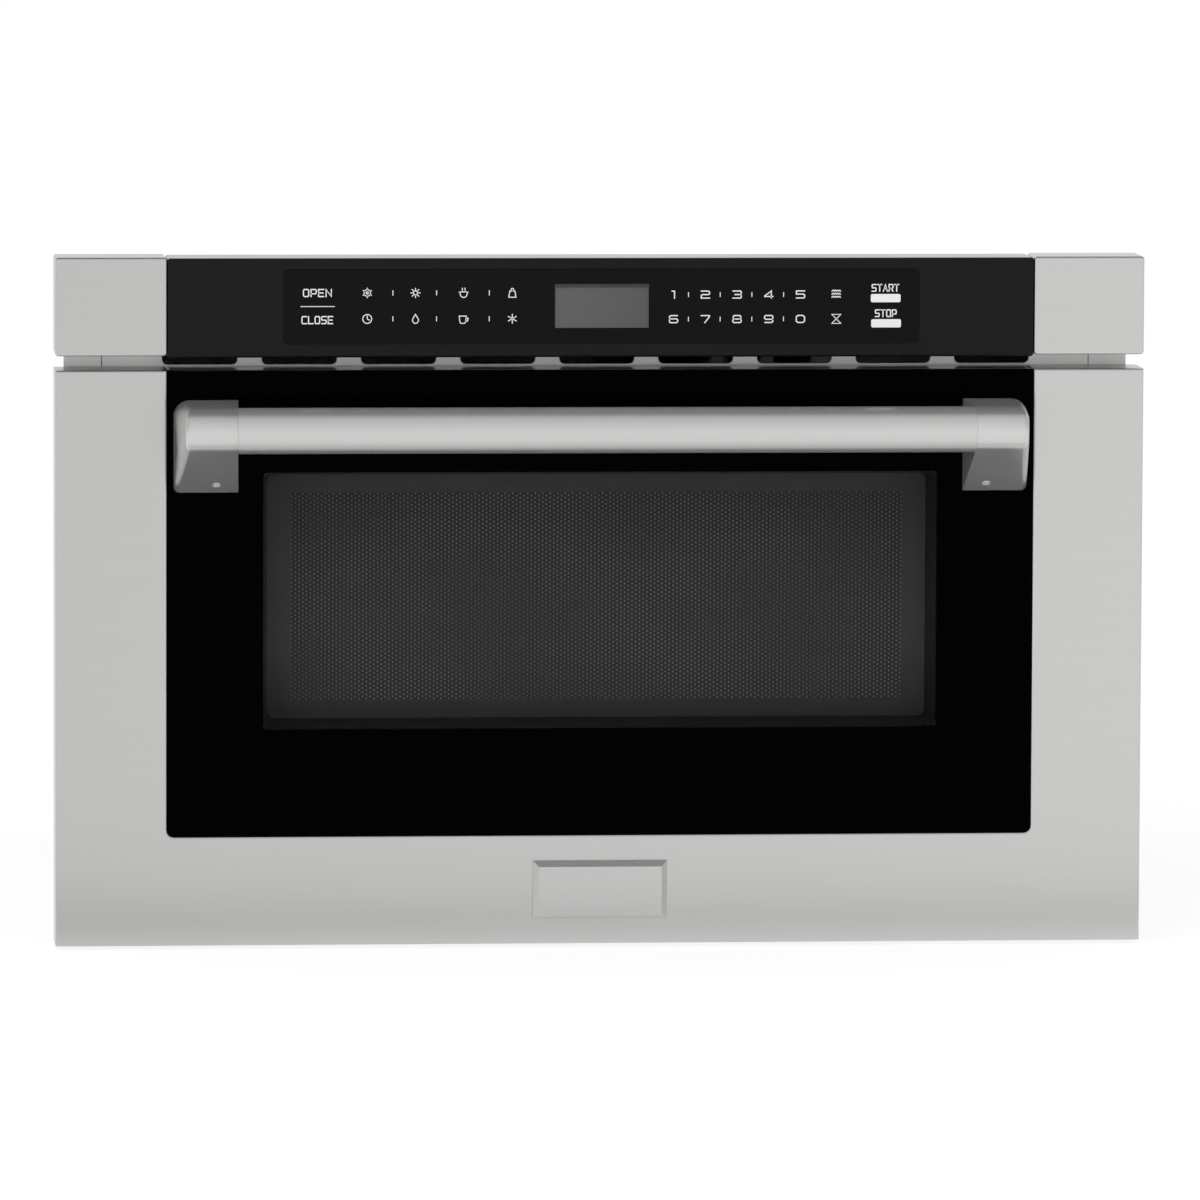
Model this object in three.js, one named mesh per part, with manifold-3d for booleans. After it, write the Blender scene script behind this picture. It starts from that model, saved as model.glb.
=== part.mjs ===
// A built-in microwave drawer of the 24-inch class, in millimetres.
// +X is to the right, +Y runs back into the cabinet and +Z is up. While the pieces are laid out,
// y = 0 is the front face and z = 0 is the shelf under the feet; the last lines centre the whole.
import * as THREE from "three";
import { mergeVertices } from "three/addons/utils/BufferGeometryUtils.js";
import Module from "manifold-3d";

const wasm = await Module();
wasm.setup();

// ---------------------------------------------------------------- driving dimensions

// Clearances
const SEAT = 0.3; // between pieces that touch
const RUN = 1; // round pieces that slide through a window

// Drawer tub and the cavity round it
const TUB_WIDTH = 440;
const TUB_HEIGHT = 181;
const TUB_DEPTH = 419;
const TUB_SHEET = 1.2;
const TUB_CORNER = 22;
const TUB_RIM = 1.4;
const TUB_RIM_HEIGHT = 4;
const TUB_FLANGE = 4; // turned out round its mouth
const TRAY_THICKNESS = 5;
const TRAY_LEDGE = 24;
const TUB_SIDE_CLEARANCE = 3.5;
const TUB_HEADROOM = 6;
const TUB_REAR_CLEARANCE = 6;
const CAVITY_SHEET = 1;
const ANTENNA_SPACE = 14; // between the cavity floor and the tub

// Body
const FOOT_HEIGHT = 12;
const FOOT_RADIUS = 17;
const FOOT_STUD_RADIUS = 5;
const FOOT_INSET = 42;
const BODY_SHEET = 1.2;
const PAN_LIP = 16;
const UNDERFLOOR = 70; // from the base pan up to the cavity floor
const OVERHEAD = 50.1; // from the cavity ceiling up to the top cover
const SLIDE_BAY = 48.6; // beside the cavity
const REAR_BAY = 128; // behind the cavity
const FLANGE_SHEET = 1.5;
const STRIP_WIDTH = 21;
const STRIP_SHEET = 1.5;
const STRIP_LEG = 42;
const STRIP_HOLE_RADIUS = 2.6;

// Drawer front
const FRONT_OVERLAP = 27; // past each side of the body
const STILE = 61.5;
const BOTTOM_RAIL = 60.7;
const SHELF_GAP = 2;
const FRONT_RISE = 36.3; // above the rim of the tub
const FRONT_SHEET = 1.2;
const FRONT_EDGE = 1; // rounding of the stainless edges
const CLOSED_GAP = 1; // between the closed drawer front and the flange
const GLASS_THICKNESS = 4;
const GLASS_CORNER = 4;
const CARRIER_DEPTH = 24;
const SCREEN_SHEET = 0.8;
const SCREEN_WIDTH = 392;
const SCREEN_HEIGHT = 160;
const WINDOW_WIDTH = 375;
const WINDOW_HEIGHT = 143;
const WINDOW_CORNER = 4;
const WINDOW_DRAFT = 3.5; // by which each side closes in from the glass to the screen
const WINDOW_SILL = 17.5; // above the tray
const INNER_GLASS = 2;
const SEAL_THICKNESS = 2.1;
const SEAL_WIDTH = 12;
const SEAL_GAP = 0.4;
const PLATE_WIDTH = 74.8;
const PLATE_HEIGHT = 32.4;
const PLATE_THICKNESS = 4;
const PLATE_BEVEL = 3.2;

// Handle
const BAR_DIAMETER = 25.4;
const HANDLE_REACH = 50; // from the drawer's face to the front of the bar
const BRACKET_WIDTH = 35.9;
const BRACKET_HEIGHT = 51.2;
const BRACKET_DROP = 16.4; // below the top of the drawer front
const BRACKET_INSET = 3.7; // in from the edge of the glass
const BAR_DROP = 14.2; // bar's axis below the top of the bracket
const INNER_DRAFT = 2.7;
const OUTER_DRAFT = 4.7;
const EDGE_ROUND = 5; // along the outer side
const SHOULDER_ROUND = 8;
const TOE_ROUND = 3;
const SPIGOT_RADIUS = 8;
const SPIGOT_LENGTH = 18;

// Control row
const AIR_GAP = 8; // between the drawer front and the control row
const CONTROL_HEIGHT = 54.5;
const CONTROL_CORNER = 1.6;
const PANEL_DROP = 1;
const PANEL_WALL = 2.5;
const OVERLAY_WIDTH = 353;
const OVERLAY_HEIGHT = 41.4;
const OVERLAY_THICKNESS = 0.7;
const OVERLAY_CORNER = 2.5;
const DISPLAY_WIDTH = 52.7;
const DISPLAY_HEIGHT = 24.8;
const BOARD_THICKNESS = 1.6;
const BOARD_DEPTH = 15; // behind the front face

// Vent strip over the drawer
const VENT_COUNT = 9;
const VENT_MARGIN = 33.35; // from the side of the body to the first vent
const VENT_WEB = 13.4;
const VENT_HEIGHT = 17;
const VENT_CORNER = 3;
const VENT_SILL = 1; // above the top of the drawer front

// Slides
const TRAVEL = 380;
const SLIDE_LENGTH = 450;
const SLIDE_HEIGHT = 45;
const SLIDE_SHEET = 1.5;
const SLIDE_BALL = 3;
const SLIDE_LIP = 4;
const SLIDE_RISE = 20; // slide's centre above the underside of the tub
const OUTER_DEPTH = 12.7;
const MIDDLE_BACK = 2.2;
const MIDDLE_DEPTH = 8.7;
const INNER_BACK = 5.6;
const INNER_DEPTH = 8;
const ARM_WIDTH = 18;

// Rack and pinion
const GEAR_MODULE = 2;
const PINION_TEETH = 18;
const PRESSURE_ANGLE = THREE.MathUtils.degToRad(20);
const ADDENDUM = 0.9;
const DEDENDUM = 1.25;
const BACKLASH = 0.4;
const GEAR_THICKNESS = 9;
const RACK_BACK = 10; // solid bar behind the teeth
const RACK_X = -120; // pitch line
const RACK_RISE = 45; // underside of the rack above the base pan
const PINION_SETBACK = 28; // pinion's axis behind the flange
const PINION_SHAFT_RADIUS = 5;
const RACK_SOLE_SHEET = 1.5;
const RACK_SOLE_MARGIN = 12; // of the sole round the bar
const PINION_GAP = 3; // between the gearbox and the teeth
const GEARBOX_MARGIN = 16; // round the pinion
const GEARBOX_BACK = 70; // behind the pinion's axis
const GEARBOX_CORNER = 6;
const SHAFT_DEPTH = 16; // into the gearbox
const DRIVE_MOTOR_RADIUS = 17;
const DRIVE_MOTOR_LENGTH = 52;
const DRIVE_MOTOR_SETBACK = 40; // behind the pinion's axis
const DRIVE_MOTOR_CAP = 5;

// Heating parts
const GUIDE_WIDTH = 84;
const GUIDE_HEIGHT = 38;
const GUIDE_SHEET = 1.2;
const GUIDE_FLANGE = 10;
const GUIDE_END = 60; // past the middle of the tub
const ANTENNA_RADIUS = 75;
const ANTENNA_SHEET = 1.5;
const ANTENNA_SHAFT_RADIUS = 4;
const ANTENNA_MOTOR_RADIUS = 25;
const ANTENNA_MOTOR_HEIGHT = 17;
const MAGNETRON_WIDTH = 92;
const MAGNETRON_DEPTH = 74;
const MAGNETRON_HEIGHT = 64;
const MAGNETRON_FINS = 7;
const ANODE_RADIUS = 20;
const COUPLING_WIDTH = 29; // of the slot in the cavity's floor
const COUPLING_REACH = 30; // from the antenna's shaft
const COUPLING_CORNER = 4;
const DOME_RADIUS = 8;
const DOME_LENGTH = 22;
const DOME_NECK_RADIUS = 6.5;
const DOME_NECK_LENGTH = 8;

// Cooling
const FAN_RADIUS = 62;
const FAN_BLADES = 7;
const FAN_DEPTH = 24;
const FAN_INSET = 109.3; // from the side panel to the fan's axis
const FAN_RISE = 140; // above the base pan
const SHROUD_WALL = 2;
const FAN_MOTOR_RADIUS = 24;
const FAN_MOTOR_LENGTH = 30;
const FAN_SHAFT_RADIUS = 2.5;
const DUCT_SHEET = 1;
const DUCT_LENGTH = 290;
const DUCT_FOOT = 14; // its width on the cavity's ceiling

// Interlock
const TONGUE_LENGTH = 34;
const TONGUE_SHEET = 2.5;
const TONGUE_HEIGHT = 10;
const TONGUE_RISE = 16; // above the cavity ceiling
const SWITCH_BLOCK_WIDTH = 18;
const SWITCH_BLOCK_HEIGHT = 24;
const SWITCH_BLOCK_DEPTH = 56;

// Electrical pieces in the body
const TRANSFORMER_WIDTH = 92;
const TRANSFORMER_DEPTH = 78;
const TRANSFORMER_HEIGHT = 84;
const TRANSFORMER_STATION = 0.6; // share of the way from the middle to the side panel
const CAPACITOR_RADIUS = 17;
const CAPACITOR_HEIGHT = 90;
const CAPACITOR_STATION = 0.28;
const POWER_BOARD_WIDTH = 150;
const POWER_BOARD_DEPTH = 90;
const POWER_BOARD_STATION = 0.38;
const BOARD_STANDOFF = 4;
const BOARD_MARGIN = 6; // from the edge of a board to its posts
const RELAY_WIDTH = 20;
const RELAY_DEPTH = 28;
const RELAY_HEIGHT = 16;
const RELAY_PITCH = 30;
const CHOKE_RADIUS = 15;
const CHOKE_HEIGHT = 22;
const CAN_RADIUS = 9;
const CAN_HEIGHT = 28;
const LAMP_RADIUS = 11;
const CORD_HOLE_RADIUS = 4.5;
const BUSHING_RADIUS = 11;
const CORD_INSET = 39.3; // from the side panel
const CORD_RISE = 40;

// ---------------------------------------------------------------- layout worked out from them

const pan = { top: FOOT_HEIGHT + BODY_SHEET };

const tub = { half: TUB_WIDTH / 2, outer: TUB_WIDTH / 2 + TUB_SHEET };
const cavity = { under: pan.top + UNDERFLOOR };
cavity.floor = cavity.under + CAVITY_SHEET;
cavity.half = tub.outer + TUB_SIDE_CLEARANCE;
cavity.outer = cavity.half + CAVITY_SHEET;
tub.bottom = cavity.floor + ANTENNA_SPACE;
tub.tray = tub.bottom + TUB_SHEET + SEAT;
tub.floor = tub.tray + TRAY_THICKNESS;
tub.top = tub.floor + TUB_HEIGHT;
cavity.ceiling = tub.top + TUB_HEADROOM;
cavity.top = cavity.ceiling + CAVITY_SHEET;

// Layers of the drawer front, from the face back to the flange it closes on
const glassFront = SEAT;
const glassBack = glassFront + GLASS_THICKNESS;
const carrierFront = glassBack + SEAT;
const carrierBack = carrierFront + CARRIER_DEPTH;
const screenFront = carrierBack + SEAT;
const screenBack = screenFront + SCREEN_SHEET;
const backFront = screenBack + SEAT;
const backBack = backFront + FRONT_SHEET;
const fixedToBack = backBack + SEAT;
const innerGlassBack = fixedToBack + INNER_GLASS;
const flangeFront = fixedToBack + SEAL_THICKNESS + SEAL_GAP;
const flangeBack = flangeFront + FLANGE_SHEET;

tub.front = fixedToBack;
tub.back = innerGlassBack + TUB_DEPTH + TUB_SHEET;
tub.middle = (innerGlassBack + tub.back - TUB_SHEET) / 2;
cavity.front = flangeBack + SEAT;
cavity.rear = tub.back + TUB_REAR_CLEARANCE;
cavity.back = cavity.rear + CAVITY_SHEET;

const body = {
  front: cavity.front,
  back: cavity.back + REAR_BAY + BODY_SHEET,
  half: cavity.outer + SLIDE_BAY + BODY_SHEET,
  top: cavity.top + OVERHEAD + BODY_SHEET,
};
body.inner = body.half - BODY_SHEET;
body.rearFace = body.back - BODY_SHEET; // inner face of the rear panel
body.coverFace = body.top - BODY_SHEET; // underside of the top cover
const fanX = FAN_INSET - body.inner;
const transformerX = TRANSFORMER_STATION * body.inner;
const capacitorX = CAPACITOR_STATION * body.inner;
const powerBoardX = POWER_BOARD_STATION * body.inner;
const cordX = body.inner - CORD_INSET;

const front = {
  half: body.half + FRONT_OVERLAP,
  bottom: SHELF_GAP,
  top: tub.top + FRONT_RISE,
};
const glass = { half: front.half - STILE, bottom: front.bottom + BOTTOM_RAIL, top: front.top };
const viewing = { bottom: tub.floor + WINDOW_SILL };
viewing.top = viewing.bottom + WINDOW_HEIGHT;
viewing.middle = (viewing.bottom + viewing.top) / 2;

const control = { bottom: front.top + AIR_GAP };
control.top = control.bottom + CONTROL_HEIGHT;
control.middle = (control.bottom + control.top) / 2;
control.back = flangeFront - SEAT;

const vents = {
  bottom: front.top + VENT_SILL,
  top: front.top + VENT_SILL + VENT_HEIGHT,
  half: body.half - VENT_MARGIN,
};
vents.pitch = (2 * vents.half + VENT_WEB) / VENT_COUNT;

const handle = {
  outer: glass.half - BRACKET_INSET,
  top: front.top - BRACKET_DROP,
  radius: BAR_DIAMETER / 2,
};
handle.inner = handle.outer - BRACKET_WIDTH;
handle.bottom = handle.top - BRACKET_HEIGHT;
handle.axisY = -(HANDLE_REACH - handle.radius);
handle.axisZ = handle.top - BAR_DROP;

const slide = {
  wall: body.inner - SEAT, // outer face of the outer member
  z: tub.bottom + SLIDE_RISE,
  half: SLIDE_HEIGHT / 2,
};
slide.middleHalf = slide.half - SLIDE_SHEET - SLIDE_BALL;
slide.innerHalf = slide.middleHalf - SLIDE_SHEET - SLIDE_BALL;
slide.face = slide.wall - INNER_BACK - INNER_DEPTH; // open side of the inner member

const pitchRadius = (GEAR_MODULE * PINION_TEETH) / 2;
const gearPitch = Math.PI * GEAR_MODULE;
const pinion = {
  x: RACK_X + pitchRadius,
  y: flangeFront + PINION_SETBACK,
  bottom: pan.top + RACK_RISE,
};
pinion.top = pinion.bottom + GEAR_THICKNESS;

const guide = {
  top: cavity.under - SEAT,
  bottom: cavity.under - SEAT - GUIDE_HEIGHT,
  front: tub.middle - GUIDE_END,
  half: GUIDE_WIDTH / 2,
};
const magnetron = { y: cavity.back + 4 * SEAT + MAGNETRON_DEPTH / 2, bottom: guide.top + SEAT };
guide.back = magnetron.y + MAGNETRON_DEPTH / 2;

const fan = { y: body.rearFace - SEAT, z: pan.top + FAN_RISE };
const duct = {
  half: vents.half + DUCT_SHEET + SEAT + RUN,
  bottom: cavity.top + SEAT,
  top: vents.top + DUCT_SHEET + RUN,
};

// ---------------------------------------------------------------- finishes

function finish(color, roughness, metalness) {
  return new THREE.MeshStandardMaterial({ color, roughness, metalness });
}
const brushedSteel = finish(0xc6c6c4, 0.35, 1);
const satinSteel = finish(0xb9bab8, 0.25, 1);
const galvanised = finish(0xa9adae, 0.5, 1);
const cavityEnamel = finish(0x7e8082, 0.6, 0.2);
const blackEnamel = finish(0x2b2b2c, 0.6, 0.2);
const blackGlass = finish(0x040404, 0.05, 0);
const blackPlastic = finish(0x1b1b1c, 0.35, 0);
const whitePlastic = finish(0xe4e2da, 0.5, 0);
const clearGlass = finish(0x3a3d3e, 0.05, 0);
const trayCeramic = finish(0xd9d6cc, 0.2, 0);
const sealRubber = finish(0x3a3a38, 0.8, 0);
const aluminium = finish(0xc9ccd0, 0.35, 1);
const copper = finish(0xa8603a, 0.4, 1);
const boardGreen = finish(0x2f6b45, 0.6, 0);

// ---------------------------------------------------------------- solids

// A closed geometry, ready to be joined and cut.
function solid(geometry) {
  geometry.deleteAttribute("normal");
  geometry.deleteAttribute("uv");
  const merged = mergeVertices(geometry, 1e-4);
  const made = new wasm.Mesh({
    numProp: 3,
    vertProperties: merged.attributes.position.array,
    triVerts: new Uint32Array(merged.index.array),
  });
  return new wasm.Manifold(made);
}

// A finished solid as a named mesh in its group.
function add(group, name, made, material) {
  const { vertProperties, triVerts } = made.getMesh();
  const geometry = new THREE.BufferGeometry();
  geometry.setAttribute("position", new THREE.BufferAttribute(vertProperties, 3));
  geometry.setIndex(new THREE.BufferAttribute(triVerts, 1));
  geometry.computeVertexNormals();
  const mesh = new THREE.Mesh(geometry, material);
  mesh.name = name;
  group.add(mesh);
  return mesh;
}

function block([x0, x1], [y0, y1], [z0, z1]) {
  const geometry = new THREE.BoxGeometry(x1 - x0, y1 - y0, z1 - z0);
  geometry.translate((x0 + x1) / 2, (y0 + y1) / 2, (z0 + z1) / 2);
  return solid(geometry);
}

// The outline's two axes and the direction it is pushed in, for each way of extruding it.
const axes = {
  x: new THREE.Matrix4().set(0, 0, 1, 0, 1, 0, 0, 0, 0, 1, 0, 0, 0, 0, 0, 1),
  y: new THREE.Matrix4().set(1, 0, 0, 0, 0, 0, -1, 0, 0, 1, 0, 0, 0, 0, 0, 1),
  z: new THREE.Matrix4(),
};

// An outline in the plane across the axis, pushed from low to high along it.
function prism(shape, axis, [low, high], curveSegments = 2) {
  const geometry = new THREE.ExtrudeGeometry(shape, {
    depth: high - low,
    bevelEnabled: false,
    curveSegments,
  });
  geometry.translate(0, 0, axis === "y" ? -high : low);
  return solid(geometry.applyMatrix4(axes[axis]));
}

// The same along Y, with the edges of its front face rounded over or bevelled.
function softPrism(shape, [low, high], width, depth = width, segments = 2) {
  const geometry = new THREE.ExtrudeGeometry(shape, {
    depth: high - low,
    bevelSize: width,
    bevelOffset: -width,
    bevelThickness: depth,
    bevelSegments: segments,
    curveSegments: 2,
  });
  geometry.translate(0, 0, -high - depth);
  const made = solid(geometry.applyMatrix4(axes.y));
  const { min, max } = made.boundingBox();
  const behind = block([min[0] - 1, max[0] + 1], [high, max[1] + 1], [min[2] - 1, max[2] + 1]);
  return made.subtract(behind);
}

// A straight round bar along an axis.
function rod(axis, radius, [low, high], [u, v], sides = 24) {
  const geometry = new THREE.CylinderGeometry(radius, radius, high - low, sides);
  geometry.rotateX(Math.PI / 2);
  geometry.translate(u, v, axis === "y" ? -(low + high) / 2 : (low + high) / 2);
  return solid(geometry.applyMatrix4(axes[axis]));
}

// A profile of [radius, height] points turned about +Z.
function turned(profile, sides = 24) {
  const points = profile.map(([radius, height]) => new THREE.Vector2(radius, height));
  const geometry = new THREE.LatheGeometry(points, sides);
  return solid(geometry.rotateX(Math.PI / 2));
}

function cutAll(made, tools) {
  return tools.reduce((left, tool) => left.subtract(tool), made);
}

// An outline pushed along an axis, with holes of their own outlines right through it.
function pierced(outline, holes, axis, [low, high]) {
  const tools = holes.map((hole) => prism(hole, axis, [low - 1, high + 1]));
  return cutAll(prism(outline, axis, [low, high]), tools);
}

function joinAll(pieces) {
  return pieces.reduce((whole, piece) => whole.add(piece));
}

// A rectangle with rounded corners: radii from the low left, anticlockwise.
function plate([u0, u1], [v0, v1], radii) {
  const [a, b, c, d] = Array.isArray(radii) ? radii : [radii, radii, radii, radii];
  const shape = new THREE.Shape();
  const corner = (u, v, radius, from) => {
    if (radius > 0) shape.absarc(u, v, radius, from, from + Math.PI / 2);
    else shape.lineTo(u, v);
  };
  shape.moveTo(u0 + a, v0);
  corner(u1 - b, v0 + b, b, -Math.PI / 2);
  corner(u1 - c, v1 - c, c, 0);
  corner(u0 + d, v1 - d, d, Math.PI / 2);
  corner(u0 + a, v0 + a, a, Math.PI);
  return shape;
}

function polygon(points) {
  return new THREE.Shape(points.map(([u, v]) => new THREE.Vector2(u, v)));
}

// Centres of a row of copies with one pitch, symmetric about the middle.
function row(count, pitch, middle = 0) {
  return Array.from({ length: count }, (_, i) => middle + (i - (count - 1) / 2) * pitch);
}

const around = (middle, width) => [middle - width / 2, middle + width / 2];

// ---------------------------------------------------------------- body

const footPlaces = [
  ["foot_front_left", -1, body.front + FOOT_INSET],
  ["foot_front_right", 1, body.front + FOOT_INSET],
  ["foot_rear_left", -1, body.back - FOOT_INSET],
  ["foot_rear_right", 1, body.back - FOOT_INSET],
].map(([name, side, y]) => ({ name, x: side * (body.half - FOOT_INSET), y }));

// A moulded foot whose stud goes up through the pan.
function foot() {
  const seat = FOOT_HEIGHT - SEAT;
  return turned([
    [0, 0],
    [FOOT_RADIUS - 2, 0],
    [FOOT_RADIUS, 2],
    [FOOT_RADIUS - 3, seat],
    [FOOT_STUD_RADIUS, seat],
    [FOOT_STUD_RADIUS, pan.top + BODY_SHEET],
    [0, pan.top + BODY_SHEET],
  ], 16);
}

function basePan() {
  const half = body.inner - SEAT;
  const back = body.rearFace - SEAT;
  const beadWidth = 16;
  const beadDepth = 3;
  const slot = 5;
  const lipTop = FOOT_HEIGHT + PAN_LIP;
  const tray = block([-half, half], [body.front, back], [FOOT_HEIGHT, lipTop]).subtract(
    block(
      [BODY_SHEET - half, half - BODY_SHEET],
      [body.front + BODY_SHEET, back - BODY_SHEET],
      [pan.top, lipTop + 1],
    ),
  );
  // Beads pressed down between the feet stiffen the pan along its length.
  const beadEnds = [body.front + 2 * FOOT_INSET, cavity.back - FOOT_INSET];
  const beads = row(2, body.half).map((x) =>
    block(around(x, beadWidth), beadEnds, [FOOT_HEIGHT - beadDepth, pan.top]),
  );
  const hollows = row(2, body.half).map((x) =>
    block(
      around(x, beadWidth - 2 * BODY_SHEET),
      [beadEnds[0] + BODY_SHEET, beadEnds[1] - BODY_SHEET],
      [pan.top - beadDepth, pan.top + 1],
    ),
  );
  const studs = footPlaces.map(({ x, y }) =>
    rod("z", FOOT_STUD_RADIUS + SEAT, [0, lipTop], [x, y], 16),
  );
  // Air for the magnetron comes in through slots under the rear bay.
  const intake = row(7, 3 * slot, capacitorX - TRANSFORMER_WIDTH).map((x) =>
    block(around(x, slot), around(magnetron.y, MAGNETRON_DEPTH / 2), [0, lipTop]),
  );
  return cutAll(joinAll([tray, ...beads]), [...hollows, ...studs, ...intake]);
}

// The right-hand side panel, with louvre slots beside the rear bay.
function sidePanel() {
  const sheet = block(
    [body.inner, body.half],
    [body.front, body.rearFace - SEAT],
    [FOOT_HEIGHT, body.coverFace - SEAT],
  );
  const slots = row(8, 12, (body.top + cavity.floor) / 2).map((z) =>
    block([body.inner - 1, body.half + 1], around(cavity.back + REAR_BAY / 2, 70), around(z, 4)),
  );
  return cutAll(sheet, slots);
}

function rearPanel() {
  const sheet = prism(
    plate([-body.half, body.half], [FOOT_HEIGHT, body.coverFace - SEAT], 0),
    "y",
    [body.rearFace, body.back],
  );
  // Slots in front of the fan fill a circle, with a web left down the middle.
  const radius = FAN_RADIUS - 4;
  const rows = row(11, 10).flatMap((dz) => {
    const reach = Math.sqrt(Math.max(radius * radius - dz * dz, 0));
    return [-1, 1].map((side) =>
      block(
        around(fanX + (side * (reach + 4)) / 2, reach - 4),
        [body.rearFace - 1, body.back + 1],
        around(fan.z + dz, 4.5),
      ),
    );
  });
  const outlets = row(7, 12, transformerX).flatMap((x) =>
    row(2, 50, fan.z).map((z) =>
      block(around(x, 5), [body.rearFace - 1, body.back + 1], around(z, 40)),
    ),
  );
  const cord = rod(
    "y",
    BUSHING_RADIUS - 2 * SEAT,
    [body.rearFace - 1, body.back + 1],
    [cordX, pan.top + CORD_RISE],
    20,
  );
  return cutAll(sheet, [...rows, ...outlets, cord]);
}

function topCover() {
  const sheet = block([-body.half, body.half], [body.front, body.back], [body.coverFace, body.top]);
  const beadHeight = 2.5;
  const beadEnds = [body.front + 40, cavity.back - 40];
  const beads = row(3, body.half / 2).map((x) =>
    block(around(x, 18), beadEnds, [body.coverFace, body.top + beadHeight]),
  );
  const hollows = row(3, body.half / 2).map((x) =>
    block(
      around(x, 18 - 2 * BODY_SHEET),
      [beadEnds[0] + BODY_SHEET, beadEnds[1] - BODY_SHEET],
      [body.coverFace - 1, body.top + beadHeight - BODY_SHEET],
    ),
  );
  const slots = row(9, 14, transformerX - 20).map((x) =>
    block(around(x, 5), around(cavity.back + REAR_BAY / 2, 60), [body.coverFace - 1, body.top + 1]),
  );
  return cutAll(joinAll([sheet, ...beads]), [...hollows, ...slots]);
}

// The front plate of the body: the cavity's mouth, windows for the slides and the rack,
// a slot for the interlock tongue, and the strip of vent slots over the drawer. It stands up
// past the top cover to carry the control row.
function frontFlange() {
  const top = control.top - 2 * PANEL_WALL;
  const outline = plate([-body.half, body.half], [FOOT_HEIGHT, top], 0);
  const vent = vents.pitch - VENT_WEB;
  const holes = [
    plate([-cavity.half, cavity.half], [tub.bottom - TUB_SIDE_CLEARANCE, cavity.ceiling], 3),
    plate(
      [rack.back - RUN, rack.tip + RUN],
      [pinion.bottom - RUN, pinion.top + RUN],
      0,
    ),
    ...row(VENT_COUNT, vents.pitch).map((x) =>
      plate(around(x, vent), [vents.bottom, vents.top], VENT_CORNER),
    ),
    ...[-1, 1].map((side) => {
      const run = [slide.face - RUN, slide.wall - MIDDLE_BACK + RUN];
      return mirrored(side, run, around(slide.z, SLIDE_HEIGHT));
    }),
    plate([tongue.x[0] - RUN, tongue.x[1] + RUN], around(tongue.z, TONGUE_HEIGHT + 2 * RUN), 0),
  ];
  return pierced(outline, holes, "y", [flangeFront, flangeBack]);
}

// A rectangular hole on the right, or its twin on the left.
function mirrored(side, [u0, u1], v) {
  return side > 0 ? plate([u0, u1], v, 0) : plate([-u1, -u0], v, 0);
}

// The right-hand angle that the cabinet screws go through.
function mountingStrip() {
  const x = body.half + SEAT;
  const angle = prism(
    polygon([
      [x, flangeFront],
      [x + STRIP_WIDTH, flangeFront],
      [x + STRIP_WIDTH, flangeFront + STRIP_SHEET],
      [x + STRIP_SHEET, flangeFront + STRIP_SHEET],
      [x + STRIP_SHEET, flangeFront + STRIP_LEG],
      [x, flangeFront + STRIP_LEG],
    ]),
    "z",
    [FOOT_HEIGHT, body.top],
  );
  const holes = row(3, (body.top - FOOT_HEIGHT) / 3, (body.top + FOOT_HEIGHT) / 2).map((z) =>
    rod(
      "y",
      STRIP_HOLE_RADIUS,
      [flangeFront - 1, flangeFront + STRIP_SHEET + 1],
      [x + (STRIP_WIDTH + STRIP_SHEET) / 2, z],
      12,
    ),
  );
  return cutAll(angle, holes);
}

// ---------------------------------------------------------------- cavity

// The coupling slot in the floor runs from round the antenna's shaft toward the magnetron.
function cavityFloor() {
  const half = COUPLING_WIDTH / 2;
  const sheet = plate([-cavity.outer, cavity.outer], [cavity.front, cavity.back], 0);
  const slot = plate([-half, half], [tub.middle - half, tub.middle + COUPLING_REACH], COUPLING_CORNER);
  return pierced(sheet, [slot], "z", [cavity.under, cavity.floor]);
}

// The right-hand wall; the lamp shines in through its perforations.
function cavityWall(lit) {
  const sheet = block(
    [cavity.half, cavity.outer],
    [cavity.front, cavity.back],
    [cavity.floor + SEAT, cavity.ceiling - SEAT],
  );
  const holes = row(3, 6, lamp.y).flatMap((y) =>
    row(3, 6, lamp.z).map((z) => rod("x", 1.6, [cavity.half - 1, cavity.outer + 1], [y, z], 6)),
  );
  return lit ? cutAll(sheet, holes) : sheet;
}

function cavityCeiling() {
  const sheet = block(
    [-cavity.outer, cavity.outer],
    [cavity.front, cavity.back],
    [cavity.ceiling, cavity.top],
  );
  // Steam leaves through a row of small slots at the front, into the duct above.
  const slots = row(12, 14).map((x) =>
    block(around(x, 4), around(cavity.front + 60, 30), [cavity.ceiling - 1, cavity.top + 1]),
  );
  return cutAll(sheet, slots);
}

function cavityRear() {
  const inside = cavity.half - SEAT;
  const sheet = block(
    [-inside, inside],
    [cavity.rear, cavity.back],
    [cavity.floor + SEAT, cavity.ceiling - SEAT],
  );
  const slots = row(10, 9, fanX + 20).map((x) =>
    block(around(x, 3), [cavity.rear - 1, cavity.back + 1], around(tub.top - 30, 26)),
  );
  return cutAll(sheet, slots);
}

// ---------------------------------------------------------------- heating parts

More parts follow.
